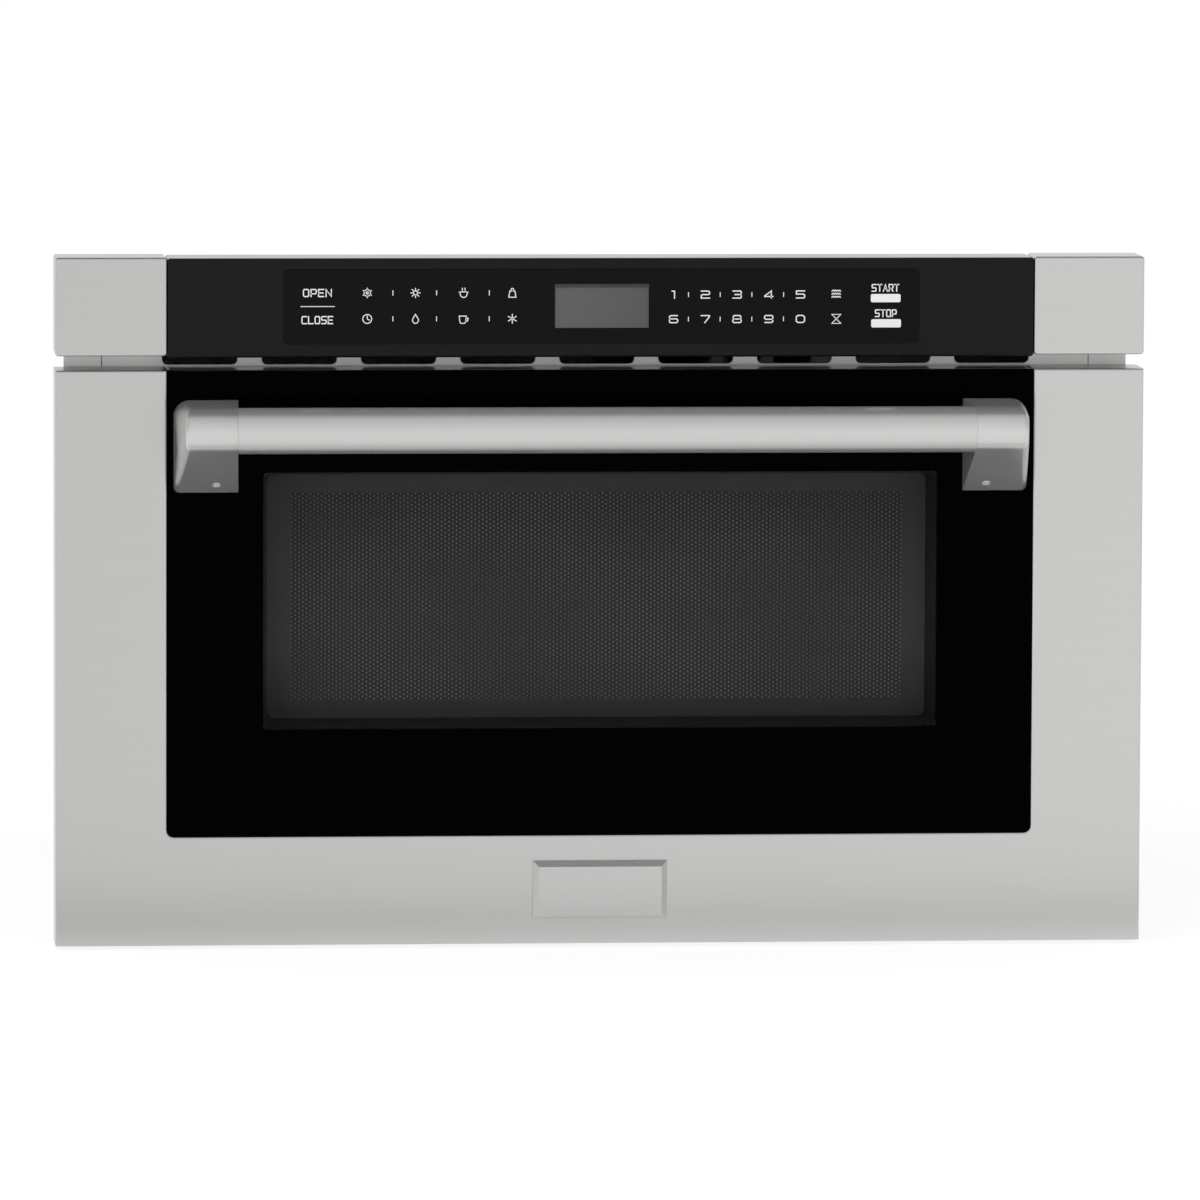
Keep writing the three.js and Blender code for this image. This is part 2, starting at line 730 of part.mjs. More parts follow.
// A pressed channel welded under the cavity floor, with a lid over its end behind the cavity.
function waveguide() {
  const lidFront = cavity.back - GUIDE_FLANGE;
  const inside = [GUIDE_SHEET - guide.half, guide.half - GUIDE_SHEET];
  const floor = guide.bottom + GUIDE_SHEET;
  const lid = guide.top - GUIDE_SHEET;
  const box = block(
    [-guide.half, guide.half],
    [guide.front, guide.back],
    [guide.bottom, guide.top],
  );
  const flanges = block(
    [-guide.half - GUIDE_FLANGE, guide.half + GUIDE_FLANGE],
    [guide.front - GUIDE_FLANGE, lidFront],
    [lid, guide.top],
  );
  return cutAll(box.add(flanges), [
    block(inside, [guide.front + GUIDE_SHEET, guide.back - GUIDE_SHEET], [floor, lid]),
    block(inside, [guide.front + GUIDE_SHEET, lidFront], [floor, guide.top + 1]),
    rod("z", ANTENNA_SHAFT_RADIUS + RUN, [guide.bottom - 1, lid], [0, tub.middle]),
    rod("z", DOME_RADIUS + RUN, [floor, guide.top + 1], [0, magnetron.y]),
  ]);
}

// A vaned disc on the shaft that spreads the microwaves under the tray.
function antenna() {
  const bladeBottom = cavity.floor + (ANTENNA_SPACE - ANTENNA_SHEET) / 2;
  const bladeTop = bladeBottom + ANTENNA_SHEET;
  const disc = rod("z", ANTENNA_RADIUS, [bladeBottom, bladeTop], [0, 0], 36);
  const slots = row(3, ANTENNA_RADIUS / 2).map((y) =>
    block([ANTENNA_RADIUS / 4, ANTENNA_RADIUS - 12], around(y, 9), [bladeBottom - 1, bladeTop + 1]),
  );
  const shaft = rod(
    "z",
    ANTENNA_SHAFT_RADIUS,
    [guide.bottom - SEAT - ANTENNA_MOTOR_HEIGHT / 2, bladeTop],
    [0, 0],
    12,
  );
  return cutAll(disc, slots).add(shaft);
}

function antennaMotor() {
  const top = guide.bottom - SEAT;
  const can = rod("z", ANTENNA_MOTOR_RADIUS, [top - ANTENNA_MOTOR_HEIGHT, top], [0, 0]);
  const ears = block(
    around(0, 2 * ANTENNA_MOTOR_RADIUS + 22),
    around(0, 14),
    [top - 1.5, top],
  );
  const terminals = block(
    around(0, 16),
    [ANTENNA_MOTOR_RADIUS - 3, ANTENNA_MOTOR_RADIUS + 6],
    [top - ANTENNA_MOTOR_HEIGHT, top - 6],
  );
  const well = rod(
    "z",
    ANTENNA_SHAFT_RADIUS + SEAT,
    [top - ANTENNA_MOTOR_HEIGHT / 2 - SEAT, top + 1],
    [0, 0],
    12,
  );
  return joinAll([can, ears, terminals]).subtract(well);
}

// Anode with its cooling fins in a steel yoke, and the dome that reaches into the waveguide.
function magnetronBody() {
  const { bottom } = magnetron;
  const top = bottom + MAGNETRON_HEIGHT;
  const yoke = 2;
  const half = MAGNETRON_WIDTH / 2;
  const depth = around(0, MAGNETRON_DEPTH);
  const shell = block([-half, half], depth, [bottom, top]).subtract(
    block([yoke - half, half - yoke], [depth[0] - 1, depth[1] + 1], [bottom + yoke, top - yoke]),
  );
  const finPitch = (MAGNETRON_HEIGHT - 4 * yoke) / MAGNETRON_FINS;
  const fins = row(MAGNETRON_FINS, finPitch, (bottom + top) / 2).map((z) =>
    block([8 - half, half - 8], around(0, MAGNETRON_DEPTH - 14), around(z, 1)),
  );
  const anode = rod("z", ANODE_RADIUS, [bottom, top], [0, 0], 12);
  const filterBox = block(around(0, 46), around(0, 40), [top - 1, top + 26]);
  return joinAll([shell, ...fins, anode, filterBox]);
}

// The magnetron's capped antenna, which reaches down into the waveguide.
function magnetronDome() {
  const { bottom } = magnetron;
  const edge = DOME_RADIUS / 6;
  return turned(
    [
      [0, bottom - DOME_LENGTH],
      [DOME_RADIUS - edge, bottom - DOME_LENGTH],
      [DOME_RADIUS, bottom - DOME_LENGTH + edge],
      [DOME_RADIUS, bottom - DOME_NECK_LENGTH],
      [DOME_NECK_RADIUS, bottom - DOME_NECK_LENGTH],
      [DOME_NECK_RADIUS, bottom - SEAT],
      [0, bottom - SEAT],
    ],
    12,
  );
}

// Laminated core on its feet, with the two windings bulging out of its windows.
function transformer() {
  const bottom = pan.top + SEAT;
  const core = block(
    around(0, TRANSFORMER_WIDTH),
    around(0, TRANSFORMER_DEPTH - 34),
    [bottom, bottom + TRANSFORMER_HEIGHT],
  );
  const base = block(
    around(0, TRANSFORMER_WIDTH + 20),
    around(0, TRANSFORMER_DEPTH - 34),
    [bottom, bottom + 2],
  );
  const bulge = (rise, height) =>
    prism(
      plate(around(0, TRANSFORMER_WIDTH - 26), around(0, TRANSFORMER_DEPTH), 14),
      "z",
      [bottom + rise, bottom + rise + height],
      2,
    );
  return joinAll([core, base, bulge(10, 28), bulge(44, 26)]);
}

function capacitor() {
  const bottom = pan.top + SEAT;
  const can = prism(
    plate(around(0, 2 * CAPACITOR_RADIUS + 20), around(0, 2 * CAPACITOR_RADIUS), CAPACITOR_RADIUS),
    "z",
    [bottom, bottom + CAPACITOR_HEIGHT],
    3,
  );
  const tabs = [-1, 1].map((side) =>
    block(
      around(side * 12, 6),
      around(0, 1),
      [bottom + CAPACITOR_HEIGHT - 1, bottom + CAPACITOR_HEIGHT + 12],
    ),
  );
  return joinAll([can, ...tabs]);
}

// ---------------------------------------------------------------- cooling and light

// Venturi ring on the rear panel, with three arms that carry the motor.
function fanShroud() {
  const back = fan.y;
  const frontEdge = back - FAN_DEPTH - 4;
  const radius = FAN_RADIUS + 2;
  const ring = rod("y", radius + SHROUD_WALL, [frontEdge, back], [0, 0], 28);
  const bore = rod("y", radius, [frontEdge - 1, back + 1], [0, 0], 28);
  const rim = block(around(0, 2 * radius + 16), [back - 2, back], around(0, 2 * radius + 16));
  const seat = frontEdge - FAN_MOTOR_LENGTH / 3;
  const arms = [0, 1, 2].map((i) => {
    const arm = block([-4, 4], [seat, frontEdge + 6], [FAN_MOTOR_RADIUS / 2, radius + SHROUD_WALL]);
    return arm.rotate([0, (i * 360) / 3, 0]);
  });
  const hub = rod("y", FAN_MOTOR_RADIUS + 4, [seat, seat + 3], [0, 0]);
  const shaftHole = rod("y", FAN_SHAFT_RADIUS + RUN, [seat - 1, seat + 4], [0, 0], 12);
  const middle = rod("y", radius, [seat + 3, back + 1], [0, 0], 28);
  return joinAll([ring.add(rim).subtract(bore), ...arms.map((arm) => arm.subtract(middle)), hub])
    .subtract(shaftHole);
}

function fanMotor() {
  const back = fan.y - FAN_DEPTH - 4 - FAN_MOTOR_LENGTH / 3 - SEAT;
  const can = rod("y", FAN_MOTOR_RADIUS, [back - FAN_MOTOR_LENGTH, back], [0, 0]);
  const core = block(
    around(0, 2 * FAN_MOTOR_RADIUS + 12),
    [back - FAN_MOTOR_LENGTH + 6, back - 6],
    [-FAN_MOTOR_RADIUS - 14, FAN_MOTOR_RADIUS - 8],
  );
  const well = rod("y", FAN_SHAFT_RADIUS + SEAT, [back - 12 - SEAT, back + 1], [0, 0], 12);
  return can.add(core).subtract(well);
}

// Twisted blades lofted out from the hub.
function fanImpeller() {
  const middle = fan.y - 2 - FAN_DEPTH / 2;
  const hubRadius = FAN_RADIUS / 3;
  const hub = rod("y", hubRadius, around(middle, FAN_DEPTH - 6), [0, 0], 20);
  const motorBack = fan.y - FAN_DEPTH - 4 - FAN_MOTOR_LENGTH / 3 - SEAT;
  const shaft = rod("y", FAN_SHAFT_RADIUS, [motorBack - 12, middle], [0, 0], 12);
  const blades = Array.from({ length: FAN_BLADES }, (_, i) => {
    const blade = block([-13, 13], [-1, 1], [hubRadius - 2, FAN_RADIUS - 2]);
    const pitched = blade.rotate([0, 0, 38]);
    return pitched.rotate([0, (i * 360) / FAN_BLADES, 0]).translate([0, middle, 0]);
  });
  return joinAll([hub, shaft, ...blades]);
}

// An open-ended cover over the cavity that leads the warm air to the vent slots.
function airDuct() {
  const back = body.front + DUCT_LENGTH;
  const shell = block([-duct.half, duct.half], [body.front, back], [duct.bottom, duct.top]);
  const inside = block(
    [DUCT_SHEET - duct.half, duct.half - DUCT_SHEET],
    [body.front - 1, back + 1],
    [duct.bottom - 1, duct.top - DUCT_SHEET],
  );
  const turnedIn = cavity.outer - DUCT_FOOT;
  const feet = block(
    [-duct.half, duct.half],
    [body.front, back],
    [duct.bottom, duct.bottom + DUCT_SHEET],
  ).subtract(block([-turnedIn, turnedIn], [body.front - 1, back + 1], [duct.bottom - 1, duct.top]));
  return shell.subtract(inside).add(feet);
}

const lamp = { y: tub.back - 90, z: tub.top - 40 };

// Lamp holder screwed to the outside of the cavity wall, with its bulb.
function lampHolder() {
  const face = cavity.outer + SEAT;
  const base = block([face, face + 2], around(lamp.y, 44), around(lamp.z, 34));
  const cup = rod("x", LAMP_RADIUS + 3, [face, face + 22], [lamp.y, lamp.z], 16);
  const inside = rod("x", LAMP_RADIUS, [face - 1, face + 18], [lamp.y, lamp.z], 16);
  const bulb = rod("x", LAMP_RADIUS - 4, [face + 3, face + 19], [lamp.y, lamp.z], 12);
  return base.add(cup).subtract(inside).add(bulb);
}

// ---------------------------------------------------------------- drive

const rack = {
  tip: RACK_X + ADDENDUM * GEAR_MODULE,
  root: RACK_X - DEDENDUM * GEAR_MODULE,
};
rack.back = rack.root - RACK_BACK;

// The tooth's half thickness at a distance beyond the pitch line.
const straightFlank = (beyond) =>
  gearPitch / 4 - BACKLASH / 2 - beyond * Math.tan(PRESSURE_ANGLE);

// Straight-sided teeth all along the bar, which is screwed to the door back by its foot.
function driveRack() {
  const points = [];
  const teeth = Math.ceil((TRAVEL + 4 * gearPitch) / gearPitch);
  const first = pinion.y - 1.5 * gearPitch;
  for (let i = 0; i < teeth; i += 1) {
    const y = first + i * gearPitch;
    points.push([rack.root, y - straightFlank(-DEDENDUM * GEAR_MODULE)]);
    points.push([rack.tip, y - straightFlank(ADDENDUM * GEAR_MODULE)]);
    points.push([rack.tip, y + straightFlank(ADDENDUM * GEAR_MODULE)]);
    points.push([rack.root, y + straightFlank(-DEDENDUM * GEAR_MODULE)]);
  }
  const end = first + teeth * gearPitch;
  const outline = polygon([
    [rack.back, fixedToBack],
    [rack.root, fixedToBack],
    ...points,
    [rack.root, end],
    [rack.back, end],
  ]);
  const bar = prism(outline, "z", [pinion.bottom, pinion.top]);
  const sole = block(
    [rack.back - RACK_SOLE_MARGIN, rack.root],
    [fixedToBack, fixedToBack + RACK_SOLE_SHEET],
    [pinion.bottom - RACK_SOLE_MARGIN, pinion.top + RACK_SOLE_MARGIN / 2],
  );
  return bar.add(sole);
}

// Involute teeth round the pinion, whose shaft runs down into the gearbox.
function drivePinion() {
  const baseRadius = pitchRadius * Math.cos(PRESSURE_ANGLE);
  const rootRadius = pitchRadius - DEDENDUM * GEAR_MODULE;
  const tipRadius = pitchRadius + ADDENDUM * GEAR_MODULE;
  const involute = (angle) => Math.tan(angle) - angle;
  const halfAngle = (radius) => {
    const pressure = Math.acos(Math.min(baseRadius / radius, 1));
    const atPitch = (gearPitch / 4 - BACKLASH / 2) / pitchRadius;
    return atPitch + involute(PRESSURE_ANGLE) - involute(pressure);
  };
  const radii = [rootRadius, baseRadius, pitchRadius, (pitchRadius + tipRadius) / 2, tipRadius];
  const points = [];
  for (let i = 0; i < PINION_TEETH; i += 1) {
    const middle = (i * 2 * Math.PI) / PINION_TEETH;
    const at = (radius, angle) => [radius * Math.cos(angle), radius * Math.sin(angle)];
    radii.forEach((radius) => points.push(at(radius, middle - halfAngle(radius))));
    radii.toReversed().forEach((radius) => points.push(at(radius, middle + halfAngle(radius))));
  }
  const teeth = prism(polygon(points), "z", [pinion.bottom, pinion.top]);
  const boss = rod("z", PINION_SHAFT_RADIUS + 4, [pinion.bottom, pinion.top + 3], [0, 0], 16);
  const shaft = rod("z", PINION_SHAFT_RADIUS, [gearbox.top - SHAFT_DEPTH, pinion.top], [0, 0], 16);
  return joinAll([teeth, boss, shaft]);
}

const gearbox = { top: pinion.bottom - PINION_GAP, bottom: pan.top + SEAT };

// Flat gearbox on the base pan with the motor lying beside it.
function driveMotor() {
  const half = pitchRadius + GEARBOX_MARGIN;
  const front = body.front + 2 * BODY_SHEET + PAN_LIP / 3 - pinion.y;
  const box = prism(
    plate([-half, half], [front, GEARBOX_BACK], GEARBOX_CORNER),
    "z",
    [gearbox.bottom, gearbox.top],
  );
  const radius = Math.min(DRIVE_MOTOR_RADIUS, (gearbox.top - gearbox.bottom) / 2 - 1);
  const axis = [DRIVE_MOTOR_SETBACK, (gearbox.top + gearbox.bottom) / 2];
  const end = half + DRIVE_MOTOR_LENGTH;
  const can = rod("x", radius, [half - 1, end], axis);
  const endCap = rod("x", radius / 2, [end - 1, end + DRIVE_MOTOR_CAP], axis, 16);
  const bushTop = gearbox.top + PINION_GAP - RUN;
  const bush = rod("z", PINION_SHAFT_RADIUS + 3, [gearbox.top - 1, bushTop], [0, 0], 16);
  const well = rod(
    "z",
    PINION_SHAFT_RADIUS + SEAT,
    [gearbox.top - SHAFT_DEPTH - SEAT, bushTop + 1],
    [0, 0],
    16,
  );
  return joinAll([box, can, endCap, bush]).subtract(well);
}

// ---------------------------------------------------------------- slides, right hand

// A channel that opens towards the cavity, with lips turned in over its races.
function channel(back, depth, half, lip, ends) {
  const u = (distance) => slide.wall - distance;
  const deep = back + depth;
  const t = SLIDE_SHEET;
  const points = [
    [back, -half],
    [deep, -half],
    [deep, lip - half],
    [deep - t, lip - half],
    [deep - t, t - half],
    [back + t, t - half],
    [back + t, half - t],
    [deep - t, half - t],
    [deep - t, half - lip],
    [deep, half - lip],
    [deep, half],
    [back, half],
  ];
  return prism(polygon(points.map(([d, v]) => [u(d), slide.z + v]).toReversed()), "y", ends);
}

function slideOuter() {
  return channel(0, OUTER_DEPTH, slide.half, SLIDE_LIP, [body.front, body.front + SLIDE_LENGTH]);
}

// The middle member carries both rows of ball cages, above and below.
function slideMiddle() {
  const ends = [body.front, body.front + SLIDE_LENGTH - 8];
  const lip = SLIDE_SHEET + 2.5;
  const rail = channel(MIDDLE_BACK, MIDDLE_DEPTH, slide.middleHalf, lip, ends);
  const cageWidth = SLIDE_BALL - SEAT;
  const cages = [-1, 1].flatMap((side) => {
    const outside = side * (slide.middleHalf + cageWidth / 2 - 0.1);
    const inside = side * (slide.middleHalf - SLIDE_SHEET - cageWidth / 2 + 0.1);
    const cage = (depth, v, width) =>
      block(
        around(slide.wall - depth, cageWidth),
        [ends[0] + 4, ends[1] - 4],
        around(slide.z + v, width + 0.2),
      );
    return [
      cage(MIDDLE_BACK + MIDDLE_DEPTH / 2, outside, cageWidth - 0.1),
      cage(MIDDLE_BACK + MIDDLE_DEPTH / 2 + 0.6, inside, cageWidth - 0.1),
    ];
  });
  return joinAll([rail, ...cages]);
}

// The inner member faces the wall; its arm is screwed to the door back.
function slideInner() {
  const t = SLIDE_SHEET;
  const half = slide.innerHalf;
  const back = slide.wall - INNER_BACK;
  const rail = prism(
    polygon([
      [slide.face, slide.z - half],
      [back, slide.z - half],
      [back, slide.z - half + t],
      [slide.face + t, slide.z - half + t],
      [slide.face + t, slide.z + half - t],
      [back, slide.z + half - t],
      [back, slide.z + half],
      [slide.face, slide.z + half],
    ]),
    "y",
    [fixedToBack, body.front + SLIDE_LENGTH - 16],
  );
  const arm = block(
    [slide.face - ARM_WIDTH, slide.face + t],
    [fixedToBack, fixedToBack + t],
    around(slide.z, SLIDE_HEIGHT - 5),
  );
  return rail.add(arm);
}

// ---------------------------------------------------------------- interlock

const tongue = {
  z: cavity.top + TONGUE_RISE,
  x: around((body.inner + duct.half) / 2, TONGUE_SHEET),
};

// A pressed tongue on the door back, with a nose that lifts the switch lever.
function interlockTongue() {
  const tip = fixedToBack + TONGUE_LENGTH;
  const blade = prism(
    polygon([
      [fixedToBack, tongue.z - TONGUE_HEIGHT / 2],
      [tip - 3, tongue.z - TONGUE_HEIGHT / 2],
      [tip, tongue.z - TONGUE_HEIGHT / 4],
      [tip, tongue.z + TONGUE_HEIGHT / 4],
      [tip - 8, tongue.z + TONGUE_HEIGHT / 2],
      [fixedToBack, tongue.z + TONGUE_HEIGHT / 2],
    ]),
    "x",
    tongue.x,
  );
  const sole = block(
    [tongue.x[0] - 8, tongue.x[1]],
    [fixedToBack, fixedToBack + 1.5],
    around(tongue.z, TONGUE_HEIGHT + 8),
  );
  return blade.add(sole);
}

// Moulded holder behind the flange that the tongue slides into, with two microswitches on top.
function switchBlock() {
  const middle = (tongue.x[0] + tongue.x[1]) / 2;
  const depth = [body.front, body.front + SWITCH_BLOCK_DEPTH];
  const height = around(tongue.z, SWITCH_BLOCK_HEIGHT);
  const holder = block(around(middle, SWITCH_BLOCK_WIDTH), depth, height);
  const slot = block(
    around(middle, TONGUE_SHEET + 2 * RUN),
    [depth[0] - 1, fixedToBack + TONGUE_LENGTH + 2],
    around(tongue.z, TONGUE_HEIGHT + 2 * RUN),
  );
  const switches = [0, 1].map((i) =>
    block(
      around(middle, 10),
      [depth[0] + 3 + i * 27, depth[0] + 26 + i * 27],
      [height[1] - 1, height[1] + 15],
    ),
  );
  return joinAll([holder.subtract(slot), ...switches]);
}

// ---------------------------------------------------------------- drawer

// One folded stainless sheet: two stiles and a bottom rail, with its edges turned back.
function doorFrame() {
  const t = FRONT_SHEET;
  const { half, bottom, top } = front;
  const outline = (grow) => {
    const shape = new THREE.Shape();
    const corner = GLASS_CORNER - grow;
    const inside = glass.half - grow;
    const low = glass.bottom + grow + corner;
    shape.moveTo(-half - grow, bottom - grow);
    shape.lineTo(half + grow, bottom - grow);
    shape.lineTo(half + grow, top + grow);
    shape.lineTo(inside, top + grow);
    shape.absarc(inside - corner, low, corner, 0, -Math.PI / 2, true);
    shape.absarc(corner - inside, low, corner, -Math.PI / 2, -Math.PI, true);
    shape.lineTo(-inside, top + grow);
    shape.lineTo(-half - grow, top + grow);
    return shape;
  };
  const sheet = softPrism(outline(0), [0, flangeFront - CLOSED_GAP], FRONT_EDGE);
  const hollow = prism(outline(-t), "y", [t, flangeFront]);
  const seat = block([t - half, half - t], [backFront - SEAT, flangeFront], [bottom + t, top - t]);
  return cutAll(sheet, [hollow, seat]);
}

function doorGlass() {
  const corner = GLASS_CORNER - SEAT;
  const outline = plate(
    [SEAT - glass.half, glass.half - SEAT],
    [glass.bottom + SEAT, glass.top],
    [corner, corner, 0, 0],
  );
  return prism(outline, "y", [glassFront, glassBack]);
}

// The window in the carrier, which closes in with the mould's draft from the glass to the screen.
function windowTunnel() {
  const outline = plate(around(0, WINDOW_WIDTH), around(0, WINDOW_HEIGHT), WINDOW_CORNER);
  const geometry = new THREE.ExtrudeGeometry(outline, {
    depth: CARRIER_DEPTH + 2,
    bevelEnabled: false,
    curveSegments: 2,
  });
  geometry.translate(0, 0, -CARRIER_DEPTH - 1);
  geometry.applyMatrix4(axes.y);
  const corners = geometry.attributes.position;
  for (let i = 0; i < corners.count; i += 1) {
    const draft = (2 * WINDOW_DRAFT * corners.getY(i)) / CARRIER_DEPTH;
    corners.setX(i, corners.getX(i) * (1 - draft / WINDOW_WIDTH));
    corners.setZ(i, corners.getZ(i) * (1 - draft / WINDOW_HEIGHT));
  }
  return solid(geometry.translate(0, carrierFront, viewing.middle));
}

// Moulded carrier: it holds the glass and makes the dark tunnel in front of the screen.
function doorCarrier() {
  const half = glass.half - FRONT_SHEET / 2 - SEAT;
  const outline = plate([-half, half], [glass.bottom + GLASS_CORNER, glass.top], 2);
  const wall = 3;
  const frame = 12; // solid round the window
  const made = prism(outline, "y", [carrierFront, carrierBack]).subtract(windowTunnel());
  // Pockets from behind leave walls round the edge and round the window.
  const across = [wall - half, half - wall];
  const depth = [carrierFront + wall, carrierBack + 1];
  const upper = block(across, depth, [viewing.top + frame, glass.top - wall]);
  const foot = glass.bottom + GLASS_CORNER + wall;
  const lower = block(across, depth, [foot, viewing.bottom - frame]);
  const ribs = row(5, half / 3).map((x) =>
    block(around(x, 2), depth, [glass.bottom, glass.top]),
  );
  return cutAll(made, [cutAll(upper, ribs), cutAll(lower, ribs)]);
}

function doorScreen() {
  return prism(
    plate(around(0, SCREEN_WIDTH), around(viewing.middle, SCREEN_HEIGHT), 6),
    "y",
    [screenFront, screenBack],
  );
}

// Pressed panel that closes the drawer front from behind and carries all that is on it.
function doorBack() {
  const half = front.half - FRONT_SHEET - SEAT;
  const outline = plate(
    [-half, half],
    [front.bottom + FRONT_SHEET + SEAT, front.top - FRONT_SHEET - SEAT],
    2,
  );
  const light = plate(around(0, SCREEN_WIDTH - 20), around(viewing.middle, SCREEN_HEIGHT - 20), 4);
  return pierced(outline, [light], "y", [backFront, backBack]);
}

function innerWindow() {
  const half = tub.half - SEAT;
  return prism(
    plate([-half, half], [tub.floor + SEAT, tub.top - SEAT], 3),
    "y",
    [fixedToBack, innerGlassBack],
  );
}

// Seal round the tub's mouth, which meets the flange as the drawer closes.
function doorSeal() {
  const inner = {
    half: cavity.half + 2,
    bottom: tub.bottom - TUB_SIDE_CLEARANCE - 2,
    top: cavity.ceiling + 2,
  };
  const outline = plate(
    [-inner.half - SEAL_WIDTH, inner.half + SEAL_WIDTH],
    [inner.bottom - SEAL_WIDTH, inner.top + SEAL_WIDTH],
    10,
  );
  const mouth = plate([-inner.half, inner.half], [inner.bottom, inner.top], 4);
  return pierced(outline, [mouth], "y", [fixedToBack, fixedToBack + SEAL_THICKNESS]);
}

// Steel tub, open at the top and at the front where the door closes it, with a ledge for the tray.
function drawerTub() {
  const outer = plate(
    [-tub.outer, tub.outer],
    [tub.front, tub.back],
    [0, 0, TUB_CORNER + TUB_SHEET, TUB_CORNER + TUB_SHEET],
  );
  const inner = plate(
    [-tub.half, tub.half],
    [tub.front - 1, tub.back - TUB_SHEET],
    [0, 0, TUB_CORNER, TUB_CORNER],
  );
  const rim = plate(
    [-tub.outer - TUB_RIM, tub.outer + TUB_RIM],
    [tub.front, tub.back + TUB_RIM],
    [0, 0, TUB_CORNER + TUB_SHEET + TUB_RIM, TUB_CORNER + TUB_SHEET + TUB_RIM],
  );
  const light = plate(
    [TRAY_LEDGE - tub.half, tub.half - TRAY_LEDGE],
    [innerGlassBack + TRAY_LEDGE, tub.back - TUB_SHEET - TRAY_LEDGE],
    TUB_CORNER / 2,
  );
  const shell = prism(outer, "z", [tub.bottom, tub.top], 3);
  const edge = prism(rim, "z", [tub.top - TUB_RIM_HEIGHT, tub.top], 3);
  const flange = pierced(
    plate([-tub.outer - TUB_FLANGE, tub.outer + TUB_FLANGE], [tub.bottom, tub.top + TUB_FLANGE], 0),
    [plate([-tub.half, tub.half], [tub.bottom + TUB_SHEET, tub.top], 0)],
    "y",
    [tub.front, tub.front + TUB_SHEET],
  );
  const hollow = prism(inner, "z", [tub.bottom + TUB_SHEET, tub.top], 3);
  const floorLight = prism(light, "z", [tub.bottom - 1, tub.bottom + TUB_SHEET + 1]);
  return cutAll(joinAll([shell, edge, flange]), [hollow, floorLight]);
}

function ceramicTray() {
  const corner = TUB_CORNER - SEAT;
  const outline = plate(
    [SEAT - tub.half, tub.half - SEAT],
    [innerGlassBack + SEAT, tub.back - TUB_SHEET - SEAT],
    [2, 2, corner, corner],
  );
  return prism(outline, "z", [tub.tray, tub.floor], 3);
}

// A bevelled plate, bare, in the middle of the bottom rail.
function namePlate() {
  const middle = (front.bottom + glass.bottom) / 2;
  const outline = plate(around(0, PLATE_WIDTH), around(middle, PLATE_HEIGHT), 0);
  const depth = [-SEAT - PLATE_THICKNESS, -SEAT];
  return softPrism(outline, depth, PLATE_BEVEL, PLATE_BEVEL, 1);
}

// ---------------------------------------------------------------- handle

// Angle on the bar's circle where a line from a corner of the bracket's base touches it.
function touching(z, side) {
  const dy = -handle.axisY;
  const dz = z - handle.axisZ;
  return Math.atan2(dz, dy) + side * Math.acos(handle.radius / Math.hypot(dy, dz));
}

// Plan of what the right-hand bracket leaves to the bar, up to its drafted inner side.
function bracketSpan(grow) {
  const reach = HANDLE_REACH + 1;
  const draft = (INNER_DRAFT * reach) / HANDLE_REACH;
  return polygon([
    [handle.inner - grow, 0],
    [handle.inner - grow + draft, -reach],
    [handle.outer + 1, -reach],
    [handle.outer + 1, 1],
    [handle.inner - grow, 1],
  ]);
}

// Cast bracket: tangent lines run from its foot to the nose, which has the bar's diameter.
function handleBracket() {
  const behind = 3 * EDGE_ROUND; // cut off at the drawer's face
  const side = new THREE.Shape();
  side.moveTo(behind, handle.bottom);
  side.lineTo(0, handle.bottom);
  side.absarc(
    handle.axisY,
    handle.axisZ,
    handle.radius,
    touching(handle.bottom, -1) + 2 * Math.PI,
    touching(handle.top, 1),
    true,
  );
  side.lineTo(0, handle.top);
  side.lineTo(behind, handle.top);
  const casting = new THREE.ExtrudeGeometry(side, {
    depth: BRACKET_WIDTH,
    bevelSize: EDGE_ROUND,
    bevelOffset: -EDGE_ROUND,
    bevelThickness: EDGE_ROUND,
    bevelSegments: 4,
    curveSegments: 10,
  });
  casting.translate(0, 0, handle.outer - BRACKET_WIDTH - EDGE_ROUND);
  casting.applyMatrix4(axes.x);
  const draft = new THREE.Matrix4().makeShear(0, 0, OUTER_DRAFT / HANDLE_REACH, 0, 0, 0);
  casting.applyMatrix4(draft);
  const face = plate(
    [handle.inner - 2, handle.outer],
    [handle.bottom, handle.top],
    [0, TOE_ROUND, SHOULDER_ROUND, 0],
  );
  const bore = rod(
    "x",
    SPIGOT_RADIUS + SEAT,
    [handle.inner - 1, handle.inner + SPIGOT_LENGTH + SEAT],
    [handle.axisY, handle.axisZ],
    20,
  );
  return solid(casting)
    .intersect(prism(bracketSpan(0), "z", [handle.bottom - 1, handle.top + 1]))
    .intersect(prism(face, "y", [-HANDLE_REACH - 1, 0], 4))
    .subtract(bore);
}

// Round bar whose turned-down ends go into the brackets.
function handleBar() {
  const centre = [handle.axisY, handle.axisZ];
  const reach = handle.inner + SPIGOT_LENGTH;
  const height = [handle.axisZ - handle.radius - 1, handle.axisZ + handle.radius + 1];
  const ending = prism(bracketSpan(SEAT), "z", height);
  const bar = rod("x", handle.radius, [-reach, reach], centre, 40)
    .subtract(ending)
    .subtract(ending.mirror([1, 0, 0]));
  return bar.add(rod("x", SPIGOT_RADIUS, [-reach, reach], centre, 20));
}

// ---------------------------------------------------------------- control row

